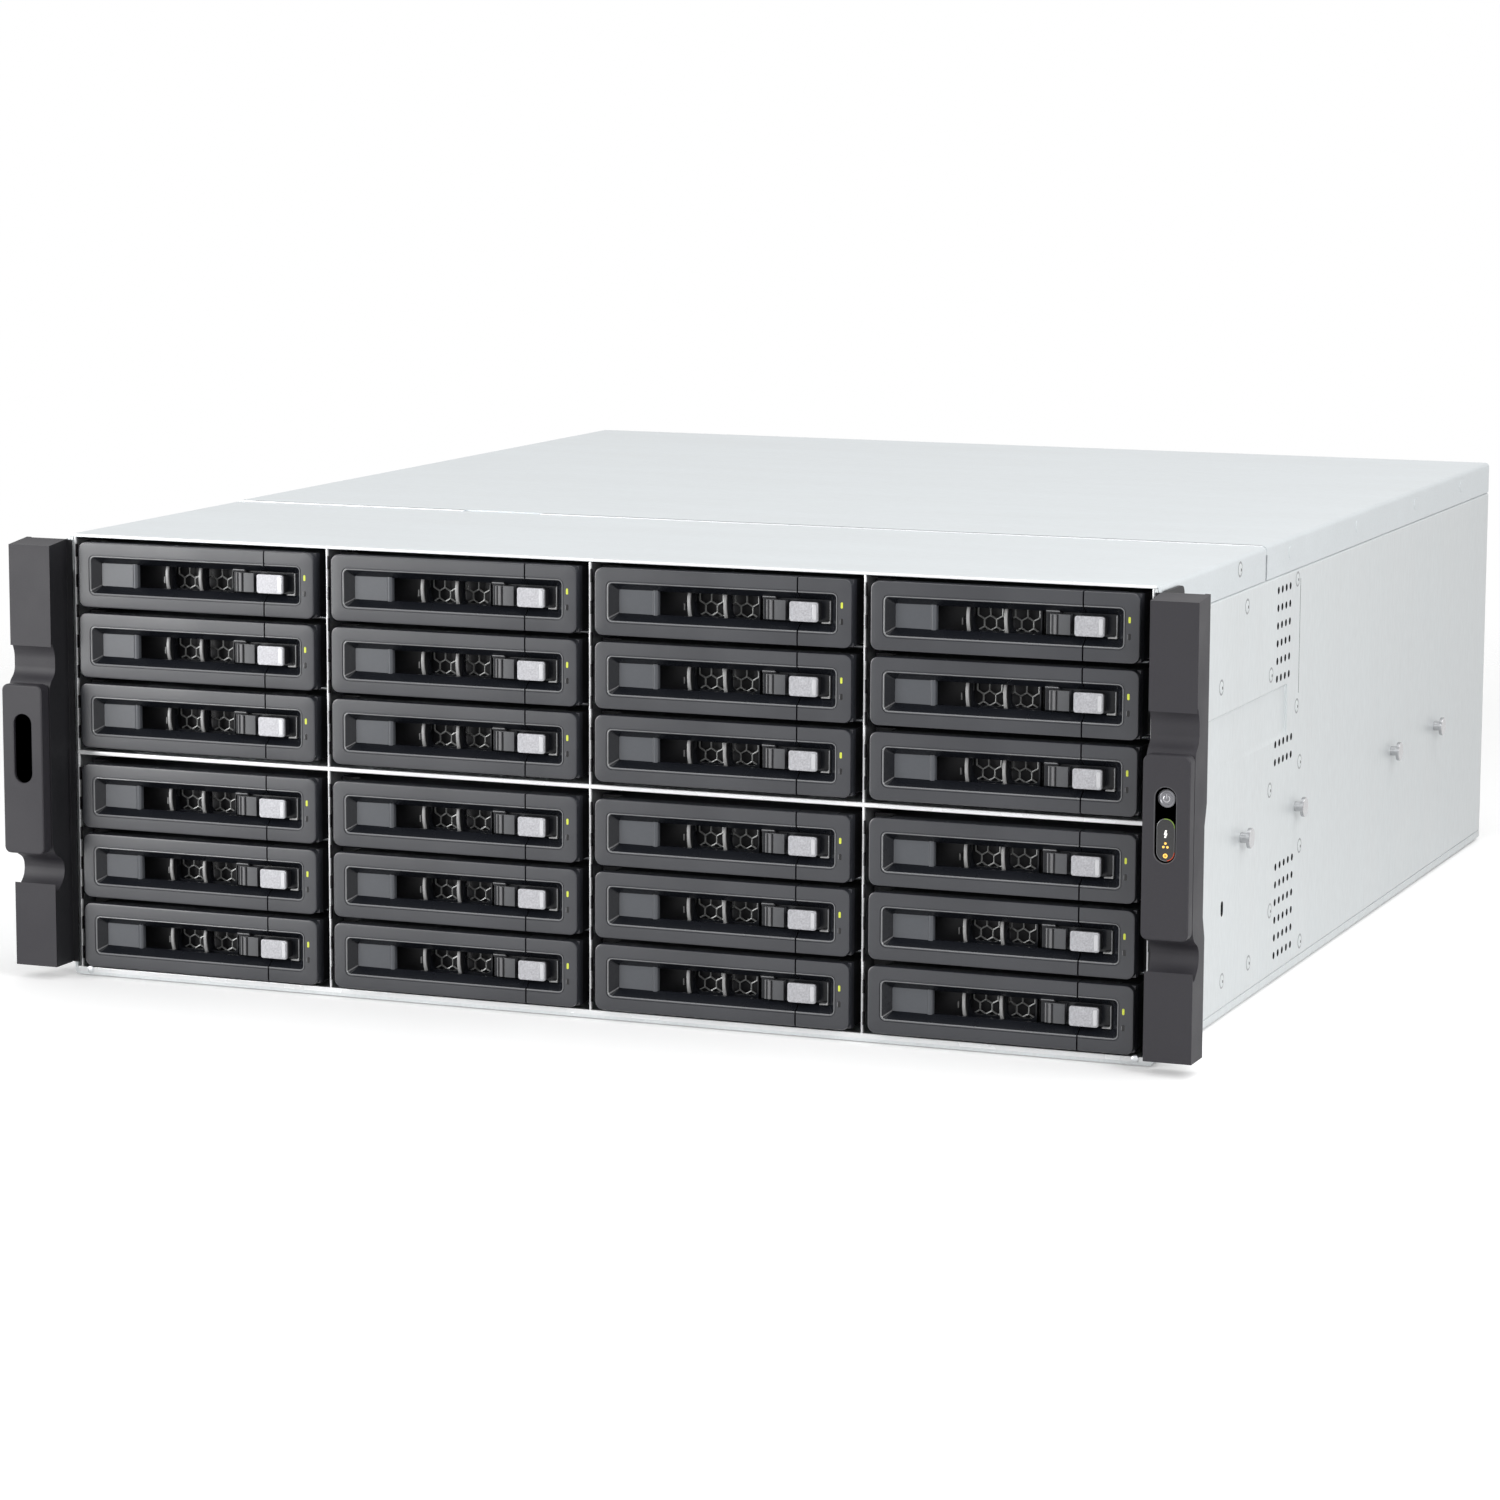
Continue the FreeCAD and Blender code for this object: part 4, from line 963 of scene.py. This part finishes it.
def side_rivet(along, z):
    """Pressed rivet in a side sheet: a dark ring painted as its shadow, a low head and a small black socket
    painted as the shade in its hollow.
    """
    y = front + along
    outward = (1, 0, 0)
    return [(dome(half_width, y, z, 3.1, 0.08, outward, 20, 1), dark_steel),
            (dome(half_width, y - 0.2, z, 2.35, 0.35, outward, 20), chassis_steel),
            (dome(half_width, y + 0.2, z - 0.2, 1.0, 0.42, outward, 10, 1), black)]


def add_front_panel():
    """Short top sheet over the trays, a little lower than the cover behind it."""
    drop = 0.35
    inside = half_width - cover_sheet
    # Black strip behind the seam's notches, painted as the shade seen through the gap
    seam_shade = block(inside - 0.17, inside - 0.03, seam - 2.0, seam + 3.0, fold_z, height - 3.0)
    parts = [(cut(folded_sheet(front, seam, drop), seam_notches()), cover_steel),
             highlight_edge(-edge_end, edge_end, front, 1.3, height - drop)]
    parts += side_rivet(*panel_screw) + on_both_sides([(seam_shade, black)])
    add_piece("front_panel_sheet", parts, "chassis", ["front_top_panel"])


def add_cover():
    """Long top sheet with a dark gap in its front edge, which is painted pale as a highlight, and bosses
    along its flanges.
    """
    start = seam + 0.4
    gap_left = -118.0
    gap_right = -84.0
    gap = block(gap_left, gap_right, start - 1, start + 2.0, height - 0.4, height + 1)
    parts = [(cut(folded_sheet(start, rear), [gap] + seam_notches()), cover_steel)]
    for left, right in ((-edge_end, gap_left - 0.2), (gap_right + 0.2, edge_end)):
        parts.append(highlight_edge(left, right, start, 1.5, height - 0.03))
    for along in boss_places:
        oval = rounded(front + along - 5.0, front + along + 5.0, 167.6, 172.6, 2.49, 6)
        boss = slab(oval, half_width - 0.5, half_width + 0.12, "side", 0.1)
        parts += on_both_sides([(boss, cover_steel)])
    add_piece("top_cover_sheet", parts, "top_cover", ["top_cover"])


def vent_places():
    """Round vent holes in a chassis side, as distances from the front and heights."""
    # First column, pitch of the columns, their number, lowest row, highest row, number of rows
    upper = (161.3, 5.9, 4, 121.7, 156.6, 6)
    middle = (160.9, 5.95, 5, 88.7, 95.8, 2)
    lower = (165.0, 6.25, 5, 10.9, 46.4, 6)
    places = []
    for first, pitch, columns, low, high, rows in (upper, middle, lower):
        for row in range(rows):
            z = low + (high - low) * row / (rows - 1)
            places += [(first + pitch * column, z) for column in range(columns)]
    return places


def tub_outline():
    """Bottom and sides in section, stepped in at the top where the covers' flanges lap over."""
    inner = fold_radius - sheet
    bend = half_width - fold_radius
    inside = half_width - sheet
    step = fold_z - 0.2
    step_radius = 1.2
    neck = half_width - cover_sheet - 0.2
    top = height - cover_sheet - 0.2
    right = arc(bend, fold_radius, fold_radius, 270, 360)
    right += arc(half_width - step_radius, step - step_radius, step_radius, 0, 90)
    right += [(neck, step), (neck, top), (neck - sheet, top), (neck - sheet, step - sheet)]
    right += [(inside, step - sheet)] + arc(bend, fold_radius, inner, 0, -90)
    return right + [(-x, z) for x, z in reversed(right)]


def side_cutters():
    """Pressed channel with its crease and hem line, and the holes, on the right side."""
    outside = half_width + 3
    proud = half_width + 1
    deep = half_width - 1.0
    skin = half_width - 0.35
    channel = [(proud, 119.2), (deep, 117.0), (deep, 100.6), (proud, 93.6)]
    grooves = [slab(channel, front - 5.0, front + 177.0),
               block(skin, half_width + 2, front + 194.2, front + 194.7, 112.0, 158.0),
               block(skin, half_width + 2, front + 2.0, rear - 2.0, 4.0, 4.6)]
    start = half_width - 5.2
    holes = [slab(circle(front + along, z, 1.5, 12), start, outside, "side") for along, z in vent_places()]
    keyhole = rounded(front + 86.4, front + 89.6, 40.0, 46.0, 1.59)
    holes.append(slab(keyhole, start, outside, "side"))
    return grooves, holes


def tub():
    """Folded tub with its channels and holes, the walls inside the holes painted black as shade."""
    grooves, holes = side_cutters()
    shell = slab(tub_outline(), front, rear)
    for cutters in (grooves, holes):
        shell = cut(shell, cutters + [mirrored(cutter.copy()) for cutter in cutters])
    # The walls of the vent holes and the keyhole are painted black as the shade inside them
    for face in shell.faces:
        centre = face.calc_center_median()
        along = centre.y - front
        on_side = abs(centre.x) > half_width - sheet - 0.1 and abs(face.normal.x) < 0.5
        in_vents = 155 < along < 197 and not 98 < centre.z < 120
        in_keyhole = 86 < along < 90 and 39 < centre.z < 47
        face.material_index = 1 if on_side and (in_vents or in_keyhole) else 0
    return shell


def hole_field(left, low, columns, rows, pitch, row_pitch, stagger, radius):
    """Cutters for staggered six-sided holes through the rear wall."""
    cutters = []
    for column in range(columns):
        for row in range(rows):
            z = low + row * row_pitch + (stagger if column % 2 else 0)
            cutters.append(slab(circle(left + column * pitch, z, radius, 6), rear - 3, rear + 1))
    return cutters


def rear_wall():
    """Rear wall with its openings for supplies, ports, cards and air."""
    step = 161.1
    upper_half = 220.4
    through = (rear - 3, rear + 1)
    openings = [block(psu_left - psu_gap, psu_right + psu_gap, *through, sheet, psu_cage_top),
                block(port_left - 4.0, port_right + 4.0, *through, 9.3, 40.3)]
    openings += [block(x - 7.5, x + 7.5, *through, 66.0, 162.0) for x in slot_places]
    openings += hole_field(left=psu_left + 3.0, low=92.0, columns=20, rows=12, pitch=4.3, row_pitch=6.2,
                           stagger=3.1, radius=1.9)
    openings += hole_field(left=-78.0, low=60.0, columns=32, rows=8, pitch=6.2, row_pitch=11.5,
                           stagger=5.7, radius=2.2)
    inside = half_width - sheet
    wall = block(-inside, inside, rear - sheet, rear, sheet, step)
    upper = block(-upper_half, upper_half, rear - sheet, rear, step, cage_top)
    return [cut(wall, openings), upper]


def side_parts():
    """Rivets, rail studs and a black sheet behind the vents painted as the shade in them, on the right
    side.
    """
    parts = []
    for along, z in screw_places:
        parts += side_rivet(along, z)
    for along in stud_places:
        for start, end, radius in ((0.0, 3.0, 2.0), (3.0, 4.5, 4.0)):
            stud = slab(circle(front + along, stud_height, radius), half_width + start,
                        half_width + end, "side", 0.25)
            parts.append((stud, stud_steel))
    # Black sheet behind the vent holes, painted as the shade seen through them
    vent_shade = block(220.7, 221.6, front + 155.0, front + 196.0, 3.0, 160.0)
    return parts + [(vent_shade, black)]


def psu_cage():
    """Two shelves and a wall that guide the power supplies."""
    left = psu_left - psu_gap
    back = rear - sheet
    shelves = [block(left, half_width - sheet, psu_cage_front, back, top - 1.0, top)
               for top in (psu_cage_middle, psu_cage_top)]
    return shelves + [block(left - 1.0, left, psu_cage_front, back, sheet, psu_cage_top)]


def slot_covers():
    """Blank covers behind the card slots, each with a pressed rib."""
    covers = []
    for x in slot_places:
        covers += [block(x - 9.2, x + 9.2, rear - sheet - 0.9, rear - sheet, 62.0, 166.0, 0.25),
                   block(x - 2.0, x + 2.0, rear - 1.4, rear - 0.4, 70.0, 158.0, 0.3)]
    return covers


def add_chassis():
    lip_end = half_width - sheet
    # The front lip is painted pale as its highlight
    lip = block(-lip_end, lip_end, front, front + sheet, sheet - 0.2, 3.0, 0.3)
    lip_screw = dome(216.0, front + 0.1, 2.2, 1.6, 0.5, (0, -1, 0))
    parts = [(tub(), [chassis_steel, black]), (lip, edge_highlight_steel)]
    parts += painted(chassis_steel, rear_wall() + psu_cage() + slot_covers())
    parts += on_both_sides(side_parts() + [(lip_screw, cage_steel)])
    add_piece("chassis_shell", parts, "chassis", ["chassis"])


def cage_plates():
    """Upright plates with front edges painted pale as highlights and black marks beside them painted as the
    shade in slots, above and below the shelf.
    """
    low_edge = shelf + 0.45
    high_edge = low_edge + 1.3
    sheets = [block(-cage_half, cage_half, front, cage_back, low_edge, high_edge)]
    edges = [block(-cage_half, cage_half, front - 0.2, front + 1.2, shelf + 0.3, shelf + 2.0, 0.5, 3)]
    slots = []
    for low, high in ((sheet, low_edge), (high_edge, cage_top)):
        for number in range(-2, 3):
            left = max(number * column_pitch - 0.4, -cage_half)
            right = min(number * column_pitch + 0.4, cage_half)
            sheets.append(block(left, right, front + 1.2, cage_back, low, high))
            edges.append(block(left, right, front + 0.2, front + 1.4, low, high, 0.25))
            # Black marks painted as the shade inside slots
            for step in range(7):
                z = low + 5.0 + step * 12.0
                slots.append(block(right - 0.15, right + 0.35, front + 0.1, front + 1.0, z, z + 5.0))
    return painted(cage_steel, sheets) + painted(edge_highlight_steel, edges) + painted(black, slots)


def cage_ledges():
    """Ledges that carry the trays' rails, set back from the front, in dark steel painted as the shade they
    lie in.
    """
    near = 51.2
    far = 54.6
    limit = 219.5
    ledges = []
    for bay in bays:
        corner = box_of(f"lever_{bay}")[0]
        middle = corner.x + face_width / 2
        top = corner.z + 0.3
        for left, right in ((-far, -near), (near, far)):
            ledges.append(block(max(middle + left, -limit), min(middle + right, limit),
                                front + 30.0, cage_back, top - 1.2, top))
    return painted(dark_steel, ledges)


def add_cage():
    add_piece("drive_cage_sheets", cage_plates() + cage_ledges(), "chassis",
              ["drive_cage"])


# Parts that keep the shape of their solids, with finishes by region

def dressed(node, base, regions):
    """A copy of a node's mesh with finishes by region: low corner, high corner, finish."""
    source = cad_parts[node]
    shape = bmesh.new()
    shape.from_mesh(source.data)
    shape.transform(source.matrix_world)
    bmesh.ops.scale(shape, vec=(1 / MM, 1 / MM, 1 / MM), verts=shape.verts)
    bmesh.ops.remove_doubles(shape, verts=shape.verts, dist=0.001)
    for face in shape.faces:
        centre = face.calc_center_median()
        face.material_index = 0
        for number, (low, high, _) in enumerate(regions, 1):
            if all(low[axis] <= centre[axis] <= high[axis] for axis in range(3)):
                face.material_index = number
    return shape, [base] + [material for _, _, material in regions]


def board_solids():
    """The board itself, its standoffs, heat sink, memory sockets and ports."""
    above = board_top + 0.1
    standoffs = ((-210, 0, 0), (100, 260, 8.2), brass)
    heatsink = ((-105, 89, above), (-13, 181, 70), cage_steel)
    memory = ((-189, 68, above), (-154, 202, 18.9), black)
    ports = ((-40, 242, above), (90, 266, 40), cage_steel)
    regions = [standoffs, heatsink, memory, ports]
    for number in range(6):
        left = port_left + number * 21.0
        regions.append(((left + 0.5, 243.5, board_top + 0.5), (left + 15.5, 264.9, 39.5), black))
    return dressed("mainboard", board_green, regions)


def memory_chips():
    """Nine chips on each side of four memory boards."""
    first_board = -185.0
    board_pitch = 9.4
    first_chip = 72.0
    chip_pitch = 14.2
    chip_length = 9.0
    low = 26.0
    high = 41.0
    chips = []
    for number in range(4):
        x = first_board + number * board_pitch
        for left, right in ((x - 2.6, x - 1.9), (x + 1.9, x + 2.6)):
            for place in range(9):
                y = first_chip + place * chip_pitch
                chips.append(block(left, right, y, y + chip_length, low, high))
    return chips


def card_sockets():
    """A long socket with a dark slot in its top, in line with each card slot."""
    start = 206.0
    end = 236.0
    top = board_top + 11.0
    parts = []
    for x in slot_places:
        parts += [(block(x - 3.5, x + 3.5, start, end, board_top, top, 0.4), black),
                  (block(x - 0.8, x + 0.8, start + 2.0, end - 2.0, top - 2.0, top + 0.05), dark_steel)]
    return parts


def power_stage():
    """A row of coils left of the heat sink and a row of capacitors right of it."""
    first = 92.0
    pitch = 14.5
    coil_left = -120.0
    coil_size = 11.0
    cap_x = -2.0
    cap_top = board_top + 9.5
    parts = []
    for number in range(6):
        y = first + number * pitch
        can = [(cap_x, y + 5.0, board_top), (cap_x, y + 5.0, cap_top)]
        lid = [(cap_x, y + 5.0, cap_top - 0.1), (cap_x, y + 5.0, cap_top + 0.3)]
        coil = block(coil_left, coil_left + coil_size, y, y + coil_size, board_top, board_top + 6.5, 0.8)
        parts += [(coil, dark_steel),
                  (tube(can, 3.4, 16), black), (tube(lid, 3.0, 16), cage_steel)]
    return parts


def add_mainboard():
    chips = [block(x, x + wide, y, y + wide, board_top, board_top + 2.2, 0.3)
             for x, y, wide in ((40.0, 60.0, 22.0), (50.0, 140.0, 30.0), (-60.0, 40.0, 14.0),
                                (20.0, 210.0, 12.0))]
    parts = [board_solids()] + card_sockets() + power_stage() + painted(black, memory_chips() + chips)
    add_piece("mainboard_parts", parts, "chassis", ["mainboard"])


def add_backplane():
    """Backplane with black connectors, and chips between its air slots."""
    low, high = box_of("backplane")
    connectors = ((-221, low.y - 1, 0), (221, -97.1, 175), black)
    chips = [block(x, x + 9.0, high.y, high.y + 1.6, 84.0, 92.0, 0.2)
             for x in (-196.0 + number * 52.0 for number in range(8))]
    parts = [dressed("backplane", board_green, [connectors])] + painted(black, chips)
    add_piece("backplane_parts", parts, "chassis", ["backplane"])


def add_fans():
    """Fan frames and rotors in black plastic on their steel wall."""
    wall = ((-221, -66.3, 1), (221, -64.9, 132), chassis_steel)
    parts = [dressed("fan_wall", black, [wall])]
    add_piece("fan_wall_parts", parts, "chassis", ["fan_wall"])


def supply_fan(fan_x, middle):
    """Wire grille over a hub with seven swept blades."""
    parts = []
    wire = 0.4
    for radius in (5.0, 8.2, 11.4, 14.4):
        ring = [(x, rear - 0.4, z) for x, z in circle(fan_x, middle, radius)]
        parts.append((tube(ring, wire, ring=True), cage_steel))
    reach = 10.22
    for slope in (1, -1):
        bar = [(fan_x - reach, rear - 0.9, middle - slope * reach),
               (fan_x + reach, rear - 0.9, middle + slope * reach)]
        parts.append((tube(bar, wire), cage_steel))
    parts.append((slab(circle(fan_x, middle, 5.5), rear - 3.6, rear - 1.5, "front", 0.4), dark_steel))
    blades = 7
    for number in range(blades):
        angle = 2 * math.pi * number / blades
        outward = Vector((math.cos(angle), math.sin(angle)))
        near = outward * 5.0
        far = outward * 14.0
        swept = Vector((-outward.y, outward.x)) * 4.5
        blade = [(fan_x + x, middle + z) for x, z in (near, near + swept, far + swept * 1.8, far)]
        parts.append((slab(blade, rear - 3.2, rear - 2.2), dark_steel))
    return parts


def add_supply(name):
    """Power supply with its fan, handle, inlet, light and green latch tab."""
    corner_low, corner_high = box_of(name)
    low = corner_low.z
    left = corner_low.x
    middle = (low + corner_high.z) / 2
    fan_x = left + 24.0
    fan_half = 15.5
    inlet = corner_high.x - 33.0
    outside = rear + 0.1
    inside = rear - 0.1
    handle = ((left + 40, outside, low), (left + 60, rear + 30, low + 40), black)
    latch = ((left - 1, outside, low), (left + 40, rear + 30, low + 40), latch_green)
    fan = ((fan_x - fan_half, rear - 5, middle - fan_half), (fan_x + fan_half, inside, middle + fan_half),
           black)
    socket = ((inlet - 0.5, rear - 13, middle - 10.5), (inlet + 27.5, inside, middle + 10.5), black)
    # The pins' region starts clear of the socket's floor, which stays black
    pins = ((inlet + 2, rear - 11.9, middle - 3.5), (inlet + 25, rear - 2, middle + 3.5), brass)
    light = slab(circle(inlet + 3.0, middle + 14.5, 1.2, 12), rear - 0.5, rear + 0.05, "front", 0.1)
    parts = [dressed(name, psu_steel, [handle, latch, fan, socket, pins]), (light, green_light)]
    parts += supply_fan(fan_x, middle)
    add_piece(f"{name}_case", parts, name, [name])


bays = sorted(name[5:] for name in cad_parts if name.startswith("tray_"))
add_trays()
add_ears()
add_front_panel()
add_cover()
add_chassis()
add_cage()
add_mainboard()
add_backplane()
add_fans()
add_supply("psu_lower")
add_supply("psu_upper")
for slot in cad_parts["power_button"].material_slots:
    slot.material = power_metal


# Camera, lights and floor

def add_camera():
    """A long lens from the front right, a little above."""
    place = (0.69528, -1.8676, 0.37003)
    yaw = 0.3747
    pitch = 0.1516
    roll = 0.004
    data = bpy.data.cameras.new("camera")
    data.sensor_width = 36.0
    data.lens = 112.315
    data.clip_end = 50.0
    camera = bpy.data.objects.new("camera", data)
    camera.matrix_world = (Matrix.Translation(place) @ Matrix.Rotation(yaw, 4, "Z")
                           @ Matrix.Rotation(math.pi / 2 - pitch, 4, "X") @ Matrix.Rotation(roll, 4, "Z"))
    bpy.context.scene.collection.objects.link(camera)
    bpy.context.scene.camera = camera


def add_light(name, place, target, size, power, size_y=None):
    """A soft box that faces a point."""
    data = bpy.data.lights.new(name, "AREA")
    data.shape = "RECTANGLE"
    data.size = size
    data.size_y = size_y or size
    data.energy = power
    light = bpy.data.objects.new(name, data)
    light.location = place
    light.rotation_euler = (Vector(target) - Vector(place)).to_track_quat("-Z", "Y").to_euler()
    light.visible_camera = False
    bpy.context.scene.collection.objects.link(light)


def seen_directly(nodes, link):
    """One where the camera, gloss or glass sees a surface, nought where it only lights others."""
    path = add_node(nodes, "LightPath")
    largest = path.outputs["Is Camera Ray"]
    for kind in ("Is Glossy Ray", "Is Transmission Ray"):
        larger = add_node(nodes, "Math")
        larger.operation = "MAXIMUM"
        link(largest, larger.inputs[0])
        link(path.outputs[kind], larger.inputs[1])
        largest = larger.outputs["Value"]
    return largest


def mixed(nodes, link, factor, first, second):
    """A blend of two surfaces."""
    mix = add_node(nodes, "MixShader")
    for number, output in enumerate((factor, first, second)):
        link(output, mix.inputs[number])
    return mix.outputs["Shader"]


def add_world():
    """Even pale surroundings, white where the camera or gloss sees them."""
    world = bpy.data.worlds.new("world")
    world.use_nodes = True
    nodes = world.node_tree.nodes
    link = world.node_tree.links.new
    strength = add_node(nodes, "MapRange", To_Min=0.35, To_Max=1.0)
    link(seen_directly(nodes, link), strength.inputs["Value"])
    background = nodes["Background"]
    background.inputs["Color"].default_value = (1, 1, 1, 1)
    link(strength.outputs["Result"], background.inputs["Strength"])
    bpy.context.scene.world = world


def add_floor():
    """A pale floor that fades out around the chassis, and looks brighter than the light it gives off."""
    reach = 1300.0
    below = -0.5
    mesh = bmesh.new()
    mesh.faces.new([mesh.verts.new((x, y, below)) for x, y in rectangle(-reach, reach, -reach, reach)])
    material = finish("floor", (0.93, 0.93, 0.93), roughness=0.6, spread=0.005, grain=60.0, mottle=2.0)
    lit(material, (1, 1, 1), 0.2)
    nodes = material.node_tree.nodes
    link = material.node_tree.links.new
    place = add_node(nodes, "TexCoord")
    distance = add_node(nodes, "VectorMath")
    distance.operation = "LENGTH"
    fade = add_node(nodes, "MapRange", From_Min=0.45, From_Max=1.1)
    fade.interpolation_type = "SMOOTHSTEP"
    link(place.outputs["Object"], distance.inputs[0])
    link(distance.outputs["Value"], fade.inputs["Value"])
    dull = add_node(nodes, "BsdfDiffuse", Color=(0.45, 0.45, 0.45, 1))
    clear = add_node(nodes, "BsdfTransparent")
    surface = mixed(nodes, link, seen_directly(nodes, link), dull.outputs["BSDF"],
                    nodes["Principled BSDF"].outputs["BSDF"])
    faded = mixed(nodes, link, fade.outputs["Result"], surface, clear.outputs["BSDF"])
    link(faded, nodes["Material Output"].inputs["Surface"])
    floor = bpy.data.objects.new("floor", make_mesh("floor", [(mesh, material)]))
    bpy.context.scene.collection.objects.link(floor)


add_camera()
add_world()
add_floor()
add_light("glow", (-1.05, -1.3, 0.2), (-0.12, -0.27, 0.09), 0.7, 9.0, 0.5)
add_light("key", (-0.85, -0.95, 0.5), (-0.15, -0.27, 0.09), 0.5, 5.0)
add_light("top", (0.3, 0.1, 2.2), (0, 0, 0), 2.0, 14.0)
add_light("near_top", (0.75, -0.1, 1.3), (0.1, 0, 0.17), 0.9, 4.5)
add_light("side", (0.85, -0.75, 0.45), (0.22, -0.15, 0.12), 0.5, 5.5)
add_light("front", (0.8, -2.2, 0.7), (0, -0.2, 0.08), 1.4, 3.0)
bpy.context.scene.view_settings.view_transform = "Standard"
